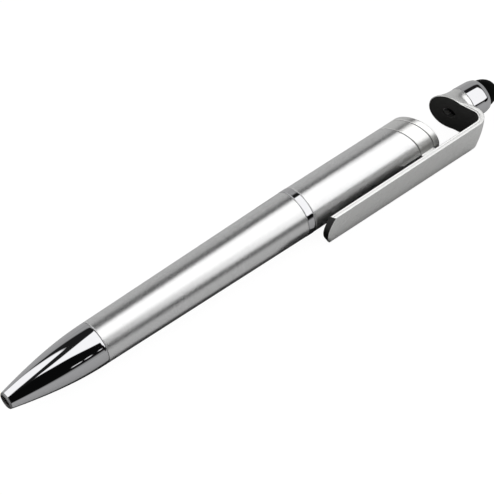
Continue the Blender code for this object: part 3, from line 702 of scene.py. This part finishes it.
class PEN_OT_centre_ring(bpy.types.Operator):
    """Turn the chrome ring between the barrels"""
    bl_idname = "pen.centre_ring"
    bl_label = "Centre ring"

    def execute(self, context):
        sizes = context.scene.pen_sizes
        gap = sizes.hairline / 2
        front, rear = sizes.ring_front + gap, sizes.ring_rear - gap
        bore = 4.4 * MM
        edge = 0.14 * MM
        points = rounded([(front, bore), (front, sizes.ring_radius, edge), (rear, sizes.ring_radius, edge),
                          (rear, bore)], steps=6)
        made = turned("centre_ring_band", points, "mirror_chrome", sizes.sides)
        settle(made, "lower_body", "chrome", "centre_ring")
        return {"FINISHED"}


def plate_width(sizes, down, inset):
    """Half width of the head's plate at a distance down from the axis toward the bend, less an inset."""
    disc = math.sqrt(max((sizes.head_radius - inset) ** 2 - down ** 2, 0.0))
    if down <= 0:
        return disc
    waist, blend = 0.08 * MM, 0.12 * MM
    waist_end = 3.0 * MM
    strap = sizes.clip_width / 2 - inset - waist * (1 - ease((down - waist_end) / waist_end))
    return 0.5 * (disc + strap + math.hypot(disc - strap, blend))


def clip_run(sizes, x):
    """How far along the bar a station lies: 0 beside the bend, 1 at the free end."""
    return min(max((sizes.head_face - x) / (sizes.head_face - sizes.clip_end), 0.0), 1.0)


def bend_centre(sizes, start, across, radius):
    """Centre of a bend between a slanted side that meets the axis at start and a bar's side at across."""
    half_turn = (math.pi / 2 - sizes.head_tilt) / 2
    back = across * math.tan(sizes.head_tilt) + radius / math.tan(half_turn)
    return Vector((start - back, across + radius))


def arm_length(sizes):
    """Length of the head's slanted face from the axis to the bend."""
    centre = bend_centre(sizes, sizes.head_face, -sizes.clip_inner, sizes.bend_inner)
    return -(centre.y + sizes.bend_inner * math.sin(sizes.head_tilt)) / math.cos(sizes.head_tilt)


def clip_sides(sizes):
    """The clip strip's side view from the head to the free end.

    Returns stations of (inner point, outer point, half width, pad recess, crown); points are (along, across).
    """
    tilt_angle = sizes.head_tilt
    cosine, sine = math.cos(tilt_angle), math.sin(tilt_angle)
    face = sizes.head_face
    inner_y = -sizes.clip_inner
    outer_y = inner_y - sizes.clip_thickness
    inner_centre = bend_centre(sizes, face, inner_y, sizes.bend_inner)
    outer_centre = bend_centre(sizes, face + sizes.arm_thickness / cosine, outer_y, sizes.bend_outer)
    half = sizes.clip_width / 2
    plate_steps, arm_steps, bend_steps, bar_steps = 18, 26, 22, 60
    stations = []

    # The head's plate and the arm, which thickens toward the bend
    plate_edge = 0.26 * MM
    thicker_from, thicker_over = 0.3 * MM, 4.6 * MM
    downs = [-sizes.head_radius * math.cos(math.pi / 2 * (step + 0.4) / plate_steps)
             for step in range(plate_steps)]
    downs += [arm_length(sizes) * step / arm_steps for step in range(arm_steps)]
    for down in downs:
        inner = Vector((face + down * sine, -down * cosine))
        thick = plate_edge + (sizes.arm_thickness - plate_edge) * ease((down - thicker_from) / thicker_over)
        outer = Vector((face + down * sine + thick * cosine, -down * cosine + thick * sine))
        stations.append((inner, outer, plate_width(sizes, down, 0.0), sizes.pad_depth, 0.0))

    # The bend, whose outside is crowned
    for part in shares(bend_steps):
        angle = tilt_angle - (math.pi / 2 + tilt_angle) * part
        spoke = Vector((math.cos(angle), math.sin(angle)))
        stations.append((inner_centre + sizes.bend_inner * spoke, outer_centre + sizes.bend_outer * spoke,
                         half, sizes.pad_depth, sizes.bend_crown * math.sin(math.pi * part) ** 2))

    # The bar, whose sections lie closer toward its free end
    end, crowding = sizes.clip_end + BAR_REST, 0.92
    for step in range(1, bar_steps + 1):
        part = (step / bar_steps) ** crowding
        x_inner = inner_centre.x + (end - inner_centre.x) * part
        x_outer = outer_centre.x + (end - outer_centre.x) * part
        recess = sizes.pad_depth * (1 - ease((step - 1) / 2))
        run = clip_run(sizes, x_inner)
        nearer = sizes.clip_spring * run
        stations.append((Vector((x_inner, inner_y + nearer)), Vector((x_outer, outer_y + nearer)),
                         half - sizes.clip_taper / 2 * run, recess, 0.0))
    return stations


def end_reach(sizes, up, depth):
    """How far the free end reaches past its high corner; depth is 0 on the inner face and 1 on the outer.

    The bevel fades from the high corner and turns over two thirds of the way down.
    """
    half = (sizes.clip_width - sizes.clip_taper) / 2
    down = min(max((half - up) / (2 * half), 0.0), 1.0)
    bow = 4 * down * (1 - down)
    low_corner = 0.12
    rounding = 0.45 * MM * max(0.0, (down - 1 + low_corner) / low_corner) ** 2
    outer = sizes.clip_bow * bow + sizes.clip_skew * down - rounding
    bevel = sizes.clip_bevel * (1 - 1.5 * down) + 0.55 * MM * bow
    return outer + bevel * (1 - depth)


def strip_section(half, thick, recess):
    """Half of the strip's cross-section, as (up, depth from the inner face) pairs of inner and outer points.

    Its corners are rounded, its inner face may lie in a recess, and a fine groove runs along its edge.
    """
    edge = min(STRIP_EDGE, 0.22 * thick)
    near = min(edge + 0.05 * MM, 0.27 * thick)
    rim = min(edge + PAD_EDGE, 0.5 * half)
    groove = 0.025 * MM
    inner = [(half - groove, 0.36 * thick), (half, 0.31 * thick), (half, near)]
    outer = [(half, 0.41 * thick), (half, 0.5 * thick), (half, thick - near)]
    for lean in quarter_turn(4):
        up = half - edge + edge * math.cos(lean)
        inner.append((up, edge - edge * math.sin(lean)))
        outer.append((up, thick - edge + edge * math.sin(lean)))
    for share_up in (1.0, 0.98, 0.85, 0.7, 0.55, 0.4, 0.25, 0.1):
        up = share_up * (half - rim)
        inner.append((up, 0.0 if share_up == 1.0 else recess))
        outer.append((up, thick))
    return list(zip(inner, outer))


def clip_strip(sizes):
    """The strip itself: a section carried round the stations, with its bowed free end."""
    bm = bmesh.new()

    def ring_at(inner, outer, width, recess, crown, inset=0.0, shift=0.0, cut=0.0):
        """Inner and outer points from the high edge to the low one; cut shares in the free end's bow."""
        across = outer - inner
        thick = across.length
        unit = across / thick
        section = strip_section(width, thick, recess)
        pairs = section + [((-near_up, near), (-far_up, far))
                           for (near_up, near), (far_up, far) in reversed(section)]
        front, back = [], []
        for pair in pairs:
            for (up, depth), target in zip(pair, (front, back)):
                up *= (width - inset) / width
                depth = inset + (thick - 2 * inset) * depth / thick
                deep = depth / thick
                spot = inner + unit * (depth + crown * (1 - (up / width) ** 2) * deep)
                x = spot.x - cut * end_reach(sizes, up, deep) - shift
                target.append(bm.verts.new((x, spot.y, up)))
        return front, back

    stations = clip_sides(sizes)
    cut_from, cut_over = sizes.clip_end + 3.2 * MM, 2.8 * MM
    rings = [ring_at(*station, cut=ease((cut_from - station[0].x) / cut_over)) for station in stations]
    edge = 0.06 * MM
    for lean in quarter_turn(4):
        rings.append(ring_at(*stations[-1], inset=edge - edge * math.cos(lean),
                             shift=BAR_REST - edge + edge * math.sin(lean), cut=1.0))
    rings.append(ring_at(*stations[-1], inset=edge + 0.05 * MM, shift=BAR_REST, cut=1.0))
    for (front_a, back_a), (front_b, back_b) in zip(rings, rings[1:]):
        bridge(bm, front_a + back_a[::-1], front_b + back_b[::-1])
    for front, back in (rings[0], rings[-1]):
        for index in range(len(front) - 1):
            bm.faces.new((front[index], front[index + 1], back[index + 1], back[index]))
    return bm


def bore_hole(made, sizes):
    """Drills the screw's hole through the head's plate."""
    bm = bmesh.new()
    place = Matrix.Translation(NOSE_FRONT + Vector((sizes.head_face, 0.0, 0.0)))
    radius = sizes.pad_hole + DRILL_GAP
    bmesh.ops.create_cone(bm, cap_ends=True, segments=64, radius1=radius, radius2=radius, depth=5.0 * MM,
                          matrix=place @ Matrix.Rotation(math.pi / 2, 4, "Y"))
    drill = as_object("drill", bm)
    cut = made.modifiers.new("hole", "BOOLEAN")
    cut.operation = "DIFFERENCE"
    cut.solver = "EXACT"
    cut.object = drill
    keep_result(made, cut)
    bpy.data.objects.remove(drill)


def paint_end_shade(made, sizes):
    """Gives the free end's cut face its own dark finish."""
    made.data.materials.append(look("end_painted_shade"))
    cut_end = NOSE_FRONT.x + sizes.clip_end + 0.3 * MM
    facing_nose = -0.55
    for face in made.data.polygons:
        if face.normal.x < facing_nose and face.center.x < cut_end:
            face.material_index = 1


def clip_nub(sizes):
    """Low round bump inside the free end, which grips a pocket."""
    bm = bmesh.new()
    radius, height = 1.5 * MM, 0.3 * MM
    sunk = 0.3 * MM
    x = sizes.clip_end + 4.2 * MM
    face = -sizes.clip_inner + sizes.clip_spring * clip_run(sizes, x)
    centre = Vector((x, face + height - radius, 0.0))
    bmesh.ops.create_uvsphere(bm, u_segments=48, v_segments=24, radius=radius)
    for vert in bm.verts:
        vert.co = centre + Vector((vert.co.x, max(vert.co.z, radius - height - sunk), vert.co.y))
    return bm


def clip_rib(sizes):
    """Rib between the bar and the collar, standing clear of the barrel and the cap."""
    slant = math.tan(sizes.slot_tilt)
    foot = sizes.barrel_radius + 0.28 * MM
    sunk = sizes.end_radius - 0.35 * MM
    collar_gap = 0.12 * MM
    low_x = sizes.collar_front + sizes.barrel_radius * slant - sizes.rib_reach
    high_x = sizes.cap_face + sizes.barrel_radius * slant
    near = sizes.collar_front + collar_gap
    far = sizes.cap_front - collar_gap
    top = sizes.clip_inner + 0.4 * MM
    outline = [(low_x, top), (low_x, foot), (near + foot * slant, foot), (near + sunk * slant, sunk),
               (far + sunk * slant, sunk), (far + foot * slant, foot), (high_x, foot), (high_x, top)]
    bm = bmesh.new()
    half = sizes.rib_width / 2
    base = bm.faces.new([bm.verts.new((x, -y, -half)) for x, y in outline])
    grown = bmesh.ops.extrude_face_region(bm, geom=[base])
    moved = [item for item in grown["geom"] if isinstance(item, bmesh.types.BMVert)]
    bmesh.ops.translate(bm, verts=moved, vec=Vector((0.0, 0.0, 2 * half)))
    bmesh.ops.recalc_face_normals(bm, faces=bm.faces)
    bmesh.ops.bevel(bm, geom=list(bm.edges), offset=0.14 * MM, segments=3, profile=0.5, affect="EDGES")
    return bm


def clip_collar(sizes):
    """Profile of the slanted collar that the clip stands on, and of its spigot in the barrel."""
    slant = math.tan(sizes.slot_tilt)
    gap = sizes.slanted_line / 2
    low, high = sizes.collar_front + gap, sizes.cap_front - gap
    spigot_end = along("mechanism_guide", 1) + CAD_GAP
    bore, spigot, edge = 3.9 * MM, 4.9 * MM, 0.09 * MM
    return rounded([(spigot_end, bore), (spigot_end, spigot), (low, spigot, 0.0, slant),
                    (low, sizes.end_radius, edge, slant), (high, sizes.end_radius, edge, slant),
                    (high, bore, 0.0, slant)])


def clip_neck(sizes):
    """Profile of the neck, which flares from the ferrule to the head's slanted plate."""
    slant = math.tan(sizes.head_tilt)
    face = sizes.head_face
    end = sizes.neck_end - sizes.hairline / 2
    floor = face + sizes.pad_depth + 0.02 * MM
    rim = sizes.head_radius - 0.12 * MM
    flare = [(0.0, rim), (0.1, rim - 0.06 * MM), (0.25, 5.12 * MM), (0.5, 4.78 * MM),
             (0.7, sizes.neck_radius + 0.05 * MM), (1.0, sizes.neck_radius)]
    hole, screw_way = sizes.pad_hole + DRILL_GAP, 1.1 * MM
    deep = face + 2.6 * MM
    start = (floor - face) / (end - face)
    points = [(floor, hole, slant)]
    for step in shares(40):
        part = start + (1 - start) * step
        short = 0.1 * MM if step == 1.0 else 0.0
        points.append((face + (end - face) * part - short, through(flare, part), slant * (1 - part)))
    return points + rounded([(end, sizes.neck_radius, 0.06 * MM), (end, screw_way), (deep, screw_way),
                             (deep, hole)])


class PEN_OT_clip(bpy.types.Operator):
    """Bend the clip strip and turn the collar and the flared neck that are one moulding with it"""
    bl_idname = "pen.clip"
    bl_label = "Clip"

    def execute(self, context):
        sizes = context.scene.pen_sizes
        collar = turned("clip_collar", clip_collar(sizes), "satin_lacquer", sizes.sides)
        neck = turned("clip_neck", clip_neck(sizes), "satin_lacquer", sizes.sides)
        lean_over(neck, sizes)
        strip = piece("clip_strip", clip_strip(sizes), "satin_lacquer", sharp=60)
        bore_hole(strip, sizes)
        paint_end_shade(strip, sizes)
        nub = piece("clip_nub", clip_nub(sizes), "satin_lacquer")
        rib = piece("clip_rib", clip_rib(sizes), "satin_lacquer")
        for made in (collar, neck, strip, nub, rib):
            settle(made, "upper_body", "clip_silver", "phone_clip")
        return {"FINISHED"}


class PEN_OT_end_cap(bpy.types.Operator):
    """Turn the slanted cap that closes the barrel and is the slot's floor"""
    bl_idname = "pen.end_cap"
    bl_label = "End cap"

    def execute(self, context):
        sizes = context.scene.pen_sizes
        slant = math.tan(sizes.slot_tilt)
        low, high = sizes.cap_front + sizes.slanted_line / 2, sizes.cap_face
        plug, radius = 3.6 * MM, sizes.end_radius
        foot = sizes.cap_front - 5.5 * MM
        points = rounded([(foot, 0.0), (foot, plug), (low, plug, 0.0, slant), (low, radius, 0.09 * MM, slant),
                          (high, radius, 0.2 * MM, slant), (high, 0.0, 0.0, slant)])
        made = turned("end_cap_shell", points, "satin_lacquer", sizes.sides, closed=False)
        settle(made, "upper_body", "clip_silver", "end_cap")
        return {"FINISHED"}


def pad_outline(sizes, inset, tongue_end, angles):
    """The pad's edge as (down, up) points: round on the head, then down the tongue to its end."""
    points = []
    least, halvings = 1e-6, 40
    for angle in angles:
        toward, up = -math.cos(angle), math.sin(angle)
        reach = sizes.head_radius - inset
        if toward > 0.0:
            low, high = 0.0, tongue_end / max(toward, least)
            for _ in range(halvings):
                reach = (low + high) / 2
                inside = (reach * toward < tongue_end
                          and abs(reach * up) < plate_width(sizes, reach * toward, inset))
                low, high = (reach, high) if inside else (low, reach)
            reach = low
        points.append((reach * toward, reach * up))
    return points


def pad_sheet(sizes):
    """The pad: a round face with a tongue that turns with the bend, and a lining down the screw's hole."""
    bm = bmesh.new()
    tilt_angle = sizes.head_tilt
    cosine, sine = math.cos(tilt_angle), math.sin(tilt_angle)
    face = sizes.head_face
    centre = bend_centre(sizes, face, -sizes.clip_inner, sizes.bend_inner)
    bend_start = arm_length(sizes)
    tongue_end = bend_start + (math.pi / 2 + tilt_angle) * sizes.bend_inner + 1.0 * MM
    top = 0.01 * MM
    bottom = sizes.pad_depth - 0.02 * MM

    def laid(down, up, depth):
        """A point of the pad by its distance down the head, its height and its depth in the recess."""
        if down <= bend_start:
            return Vector((face + down * sine + depth * cosine, -down * cosine + depth * sine, up))
        angle = tilt_angle - (down - bend_start) / sizes.bend_inner
        if angle > -math.pi / 2:
            reach = sizes.bend_inner + depth
            return Vector((centre.x + reach * math.cos(angle), centre.y + reach * math.sin(angle), up))
        run = (-math.pi / 2 - angle) * sizes.bend_inner
        return Vector((centre.x - run, centre.y - sizes.bend_inner - depth, up))

    sides = 96
    angles = [2 * math.pi * side / sides for side in range(sides)]
    hole, round_end = sizes.pad_hole, 3.6 * MM
    rings = []
    for part in shares(9):
        size = hole + (round_end - hole) * part
        # The hole's rim is stretched by the head's slant, and the rows round it ease into circles.
        squeeze = 1 + (1 / cosine - 1) * (1 - part) if part > 0.0 else cosine
        rings.append([(-size * math.cos(angle) / squeeze, size * math.sin(angle)) for angle in angles])
    inner = rings[-1]
    outer = pad_outline(sizes, STRIP_EDGE + PAD_EDGE, tongue_end, angles)
    for part in shares(14)[1:]:
        rings.append([(near[0] + (far[0] - near[0]) * part, near[1] + (far[1] - near[1]) * part)
                      for near, far in zip(inner, outer)])
    surfaces = []
    for depth in (top, bottom):
        rows = [[bm.verts.new(laid(down, up, depth)) for down, up in row] for row in rings]
        for first, second in zip(rows, rows[1:]):
            bridge(bm, first, second)
        surfaces.append(rows)
    floor, underside = 2.3 * MM, 2.36 * MM
    narrow, wide = 0.82, 1.02
    lining = [[bm.verts.new(laid(down * scale, up * scale, depth)) for down, up in rings[0]]
              for scale, depth in ((1.0, floor), (narrow, floor), (narrow, underside), (wide, underside))]
    bridge(bm, surfaces[0][-1], surfaces[1][-1])
    walls = [surfaces[0][0]] + lining + [surfaces[1][0]]
    for first, second in zip(walls, walls[1:]):
        bridge(bm, first, second)
    return bm


class PEN_OT_head_pad(bpy.types.Operator):
    """Lay the black pad in the head's recess and round the bend"""
    bl_idname = "pen.head_pad"
    bl_label = "Head pad"

    def execute(self, context):
        made = piece("head_pad_sheet", pad_sheet(context.scene.pen_sizes), "foam_rubber", sharp=45)
        settle(made, "upper_body", "pad_rubber", "head_pad")
        return {"FINISHED"}


class PEN_OT_stylus(bpy.types.Operator):
    """Turn the chrome ferrule and the black rubber dome"""
    bl_idname = "pen.stylus"
    bl_label = "Stylus"

    def execute(self, context):
        sizes = context.scene.pen_sizes
        front, rear = sizes.neck_end + sizes.hairline / 2, sizes.ferrule_end
        bore, seat_radius = 1.1 * MM, 3.2 * MM
        seat, step_down = rear - 2.4 * MM, rear - 0.25 * MM
        middle, mouth, tip = sizes.ferrule_radius, sizes.ferrule_mouth, sizes.tip_radius
        swell = [(0.0, middle + 0.02 * MM), (0.3, middle), (0.62, middle - 0.04 * MM),
                 (0.8, 0.3 * mouth + 0.7 * middle), (0.92, 0.68 * mouth + 0.32 * middle), (1.0, mouth)]
        end_edge = 0.05 * MM
        shell = [(front, bore), (front, middle - 0.06 * MM)]
        for part in shares(40):
            shell.append((front + end_edge + (rear - front - 2 * end_edge) * part, through(swell, part)))
        shell += rounded([(rear, mouth - end_edge, 0.03 * MM), (rear, tip + 0.03 * MM),
                          (step_down, tip + 0.02 * MM), (step_down, seat_radius), (seat, seat_radius),
                          (seat, bore)])
        ferrule = turned("ferrule_shell", shell, "mirror_chrome", sizes.sides)
        lean_over(ferrule, sizes)
        settle(ferrule, "upper_body", "chrome", "stylus_ferrule")

        foot, plug = seat + 0.2 * MM, 2.9 * MM
        base = rear - 0.2 * MM
        dome_start = base + 0.3 * MM
        dome = [(foot, 0.0), (foot, plug), (base, plug), (base, tip - 0.03 * MM)]
        for angle in quarter_turn(40)[1:-1]:
            dome.append((dome_start + (sizes.pen_end - dome_start) * math.sin(angle),
                         tip * math.cos(angle) ** 0.96))
        dome.append((sizes.pen_end, 0.0))
        rubber = turned("rubber_dome", dome, "soft_silicone", sizes.sides, closed=False)
        lean_over(rubber, sizes)
        settle(rubber, "upper_body", "stylus_rubber", "stylus_tip")
        dress(stylus_screw="blackened_steel")
        return {"FINISHED"}


class PEN_OT_refill(bpy.types.Operator):
    """Turn the refill's point and ball, and finish its tube and ink"""
    bl_idname = "pen.refill"
    bl_label = "Refill"

    def execute(self, context):
        ball_front = along("refill_ball", 0)
        ball_radius = 0.4 * MM
        front = ball_front + 0.45 * MM
        cone_end = along("refill_tip", 0) + 3.2 * MM
        shoulder = along("refill_tube", 0) - 0.15 * MM
        tip_end = along("refill_tip", 1)
        needle, tang = 1.15 * MM, 0.75 * MM
        edge = 0.08 * MM
        points = rounded([(front + 0.25 * MM, 0.0), (front, 0.36 * MM, 0.03 * MM),
                          (front + 0.3 * MM, 0.5 * MM), (front + 0.5 * MM, 0.58 * MM),
                          (cone_end, needle - 0.12 * MM, 0.2 * MM), (cone_end + 0.15 * MM, needle, edge),
                          (shoulder, needle, edge), (shoulder, tang), (tip_end, tang), (tip_end, 0.0)])
        made = turned("refill_point", points, "turned_brass", 72, closed=False)
        settle(made, "refill", "brass", "refill_tip")
        ball = [(ball_front, 0.0)]
        for part in shares(24)[1:-1]:
            angle = math.pi * part
            ball.append((ball_front + ball_radius * (1 - math.cos(angle)), ball_radius * math.sin(angle)))
        ball.append((ball_front + 2 * ball_radius, 0.0))
        made = turned("writing_ball", ball, "drawn_steel", 48, closed=False)
        settle(made, "refill", "steel", "refill_ball")
        dress(refill_tube="clear_tube", refill_ink="ink_paste")
        return {"FINISHED"}


def coil_group():
    """Geometry nodes that wind one wire into a coil with a closed turn at each end."""
    tree, (turns, coil, wire, span, seat, material) = new_group("wound_spring", {
        "Turns": "Int", "Coil radius": "Float", "Wire radius": "Float", "Coil length": "Float",
        "Spring seat": "Vector", "Finish": "Material"})
    line = tree.node("GeometryNodeCurvePrimitiveLine")
    line = tree.node("GeometryNodeResampleCurve", {}, {"Curve": line, "Count": turns * 32 + 1})
    part = tree.node("GeometryNodeSplineParameter", output="Factor")
    end_turn, end_rise = 1.0 / 9.0, 0.032
    rise = tree.node("ShaderNodeFloatCurve", {"points": [
        (0.0, 0.0), (end_turn, end_rise), (1 - end_turn, 1 - end_rise), (1.0, 1.0)]}, {"Value": part})
    angle = part * turns * (2 * math.pi)
    line = place_points(tree, line, rise * (span - 2 * wire) + wire, coil * tree.maths("COSINE", angle),
                        coil * tree.maths("SINE", angle), seat)
    section = tree.node("GeometryNodeCurvePrimitiveCircle", {}, {"Resolution": 12, "Radius": wire})
    skin = tree.node("GeometryNodeCurveToMesh", {}, {"Curve": line, "Profile Curve": section,
                                                     "Fill Caps": True})
    return end_group(tree, skin, material)


class PEN_OT_spring(bpy.types.Operator):
    """Wind the return spring, which shortens as the refill comes forward"""
    bl_idname = "pen.spring"
    bl_label = "Return spring"

    def execute(self, context):
        sizes = context.scene.pen_sizes
        front, rear = along("return_spring", 0), along("return_spring", 1)
        made = as_object("coil_spring", bmesh.new())
        seat = NOSE_FRONT + Vector((front, 0.0, 0.0))
        bake_nodes(made, coil_group(), {
            "Turns": sizes.turns, "Coil radius": sizes.coil_radius, "Wire radius": sizes.wire_radius,
            "Coil length": rear - front, "Spring seat": seat, "Finish": look("drawn_steel")})
        made.data.shade_smooth()
        settle(made, "lower_body", "steel", "return_spring")
        stroke = SLIDE["range_m"][1]
        (rear - front - stroke) / (rear - front)
        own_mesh(made)
        return {"FINISHED"}


class PEN_OT_mechanism(bpy.types.Operator):
    """Finish the brass, steel and plastic pieces of the twist mechanism"""
    bl_idname = "pen.mechanism"
    bl_label = "Twist mechanism"

    def execute(self, context):
        dress(threaded_bush="turned_brass", mechanism_cam="turned_brass", retaining_collar="turned_brass",
              plunger_pin="drawn_steel", mechanism_guide="moulded_white", cam_sleeve="moulded_white",
              mechanism_plunger="moulded_white")
        return {"FINISHED"}


# Studio

def border(tree, place, points):
    """A line through (place, value) points as a node; places rise, and values lie within 180 of 0."""
    low, high = points[0][0], points[-1][0]
    spread = high - low
    curve = tree.node("ShaderNodeFloatCurve",
                      {"points": [((at - low) / spread, value / 360 + 0.5) for at, value in points]},
                      {"Value": (place - low) / spread})
    return (curve - 0.5) * 360


def deep_dimming(tree, first):
    """1 for what metal sees directly or by way of one other piece, less for what it sees by way of more.

    The first reflection has ray depth 1 on a surface and 2 in the world.
    """
    bounces = tree.node("ShaderNodeLightPath", output="Ray Depth") - (first - 1.0)
    return 1.0 - 0.4 * (bounces - 2.5).step(0.1)


def studio_world(stage):
    """Plain white to the camera and to matt surfaces; metal sees two softboxes in a dark, grey-walled room.

    A direction in the room is its turn about the pen's axis, in degrees from overhead to the clip's side,
    and its lean toward the stylus, from -1 to 1.
    """
    world = bpy.data.worlds.new("studio")
    world.use_nodes = True
    world.node_tree.nodes.clear()
    tree = Tree(world.node_tree)
    direction = tree.node("ShaderNodeTexCoord", output="Generated")
    lean, y, z = (tree.node("ShaderNodeSeparateXYZ", {}, {0: direction}, output=i) for i in range(3))
    turn = tree.maths("ARCTAN2", -y, z) * math.degrees(1.0)

    rear_left = border(tree, lean, [(-1.0, 10), (-0.1, 5), (-0.06, -1), (0.1, -12), (0.3, -27), (0.36, -31),
                                    (0.49, -36), (0.525, -24), (1.0, -22)])
    rear_right = border(tree, lean, [(-1.0, 0), (-0.08, 2), (0.0, 11), (0.1, 18), (0.23, 30), (0.306, 36),
                                     (0.314, 52), (0.34, 58), (0.4, 64), (0.48, 68), (0.525, 71), (1.0, 71)])
    rear_end = border(tree, turn, [(-180, 61), (-30, 62), (-15, 65), (5, 70), (40, 72), (180, 72)])
    rear_box = ((turn - rear_left).step(3.0) * (rear_right - turn).step(3.0)
                * (rear_end - lean * 100).step(3.0))
    front_end = border(tree, turn, [(-180, -100), (-75, 1.5), (-60, 4.5), (-45, 11.5), (-39, 13), (-34, 11),
                                    (-20, -6), (-10, -14), (-1, -18), (4, -30), (180, -100)])
    front_box = (front_end - lean * 100).step(3.5)

    glint_turn, glint_half_width, glint_strength = 65, 1.9, 0.75
    glint_line = (glint_half_width - abs(turn - glint_turn)).step(1.5)
    glint_panes = sum((reach - abs(lean - middle)).step(0.015)
                      for middle, reach in ((0.12, 0.03), (0.195, 0.022), (0.275, 0.012)))
    lights = rear_box + front_box + glint_strength * glint_line * glint_panes

    upper_wall = border(tree, lean, [(-1.0, -84), (-0.1, -84), (0.1, -72), (0.28, -64), (0.32, -60),
                                     (0.4, -57), (0.46, -51), (1.0, -49)])
    lower_wall = border(tree, lean, [(-1.0, 86), (-0.1, 84), (0.1, 80), (0.3, 78), (0.33, 88), (0.42, 87),
                                     (0.47, 80), (0.52, 80), (0.6, 98), (1.0, 98)])
    walls = (upper_wall - turn).step(8.0) + (turn - lower_wall).step(8.0)
    walls = walls * (lean + 0.85).step(0.3) * stage.surround
    dark_room = 0.005 + 0.015 * (-turn).step(20.0)
    end_wall = (lean - 0.79).step(0.1) * stage.surround
    seen = walls.at_least(dark_room.at_least(end_wall)).at_least(stage.softbox * lights)

    glossy = tree.node("ShaderNodeLightPath", output="Is Glossy Ray")
    strength = glossy * seen * deep_dimming(tree, 2.0) + (1.0 - glossy)
    background = tree.node("ShaderNodeBackground", {}, {"Color": tuple(stage.backdrop), "Strength": strength})
    tree.end("ShaderNodeOutputWorld", background)
    world.cycles.sampling_method = "NONE"
    bpy.context.scene.world = world


def studio_floor(stage, sizes):
    """White to the camera apart from a soft shadow, and grey with a dark line under the pen to its metal."""
    bm = bmesh.new()
    bmesh.ops.create_circle(bm, cap_ends=True, segments=96, radius=4.0)
    floor = as_object("floor", bm)
    made = bpy.data.materials.new("floor_paper")
    made.use_nodes = True
    made.node_tree.nodes.clear()
    tree = Tree(made.node_tree)
    place = tree.node("ShaderNodeTexCoord", output="Object")
    x, y = (tree.node("ShaderNodeSeparateXYZ", {}, {0: place}, output=i) for i in range(2))
    back = x - NOSE_FRONT.x
    ahead = sizes.clip_end - back
    under_nose, under_barrel = 4.5 * MM, 5.5 * MM
    under_tip, under_clip_end = 6.0 * MM, 5.0 * MM
    shade = (under_nose + under_barrel * (back - 18.0 * MM).step(30.0 * MM)
             - under_tip * (back - 138.0 * MM).step(4.0 * MM)
             + under_clip_end * ahead.step(2.0 * MM) * (9.0 * MM - ahead).step(6.0 * MM))
    # The floor's grey is darkened under the pen: a painted shadow.
    lit = (0.06 + 0.94 * (abs(y - NOSE_FRONT.y) - shade).step(2.0 * MM)) * deep_dimming(tree, 1.0)
    table, paper = (tuple(share_lit * part for part in stage.backdrop)
                    for share_lit in (stage.table, stage.shadow))
    grey = tree.node("ShaderNodeBsdfDiffuse", {}, {"Color": mixed(tree, lit, (0.0, 0.0, 0.0), table)})
    paper = tree.node("ShaderNodeBsdfDiffuse", {}, {"Color": paper})
    glow = tree.node("ShaderNodeEmission", {}, {"Color": tuple(stage.backdrop),
                                                "Strength": 1.04 - stage.shadow})
    white = tree.node("ShaderNodeAddShader", {}, {0: paper, 1: glow})
    to_camera = tree.node("ShaderNodeLightPath", output="Is Camera Ray")
    surface = tree.node("ShaderNodeMixShader", {}, {0: to_camera, 1: grey, 2: white})
    tree.end("ShaderNodeOutputMaterial", surface)
    floor.data.materials.append(made)


class PEN_OT_stage(bpy.types.Operator):
    """Set up the camera, the floor and the studio light"""
    bl_idname = "pen.stage"
    bl_label = "Studio"

    def execute(self, context):
        stage = context.scene.pen_stage
        data = bpy.data.cameras.new("camera")
        data.sensor_fit = "HORIZONTAL"
        data.sensor_width = 36.0
        data.lens = stage.focal_length
        data.clip_start = 0.01
        data.clip_end = 50.0
        camera = bpy.data.objects.new("camera", data)
        context.scene.collection.objects.link(camera)
        axes = Matrix((CAMERA_RIGHT, CAMERA_UP, CAMERA_RIGHT.cross(CAMERA_UP))).transposed()
        camera.matrix_world = Matrix.Translation(Vector(stage.camera_place)) @ axes.to_4x4()
        context.scene.camera = camera
        context.scene.view_settings.view_transform = "Standard"
        studio_world(stage)
        studio_floor(stage, context.scene.pen_sizes)
        return {"FINISHED"}


class PEN_PT_panel(bpy.types.Panel):
    """Lists the pen's pieces, sizes and finishes"""
    bl_idname = "PEN_PT_panel"
    bl_label = "Twist Pen"
    bl_space_type = "VIEW_3D"
    bl_region_type = "UI"
    bl_category = "Twist Pen"

    def draw(self, context):
        for operator in OPERATORS:
            self.layout.operator(operator.bl_idname)
        for group in (context.scene.pen_sizes, context.scene.pen_finishes, context.scene.pen_stage):
            column = self.layout.column(heading=type(group).__doc__)
            for name in type(group).__annotations__:
                column.prop(group, name)


OPERATORS = (PEN_OT_stage, PEN_OT_nose, PEN_OT_barrels, PEN_OT_centre_ring, PEN_OT_clip, PEN_OT_end_cap,
             PEN_OT_head_pad, PEN_OT_stylus, PEN_OT_refill, PEN_OT_spring, PEN_OT_mechanism)
CLASSES = (PenSizes, PenFinishes, PenStage) + OPERATORS + (PEN_PT_panel,)


def register():
    for item in CLASSES:
        bpy.utils.register_class(item)
    bpy.types.Scene.pen_sizes = PointerProperty(type=PenSizes)
    bpy.types.Scene.pen_finishes = PointerProperty(type=PenFinishes)
    bpy.types.Scene.pen_stage = PointerProperty(type=PenStage)


def unregister():
    del bpy.types.Scene.pen_sizes, bpy.types.Scene.pen_finishes, bpy.types.Scene.pen_stage
    for item in reversed(CLASSES):
        bpy.utils.unregister_class(item)


def main():
    register()
    for step in (bpy.ops.pen.stage, bpy.ops.pen.nose, bpy.ops.pen.barrels, bpy.ops.pen.centre_ring,
                 bpy.ops.pen.clip, bpy.ops.pen.end_cap, bpy.ops.pen.head_pad, bpy.ops.pen.stylus,
                 bpy.ops.pen.refill, bpy.ops.pen.spring, bpy.ops.pen.mechanism):
        step()


if __name__ == "__main__":
    main()
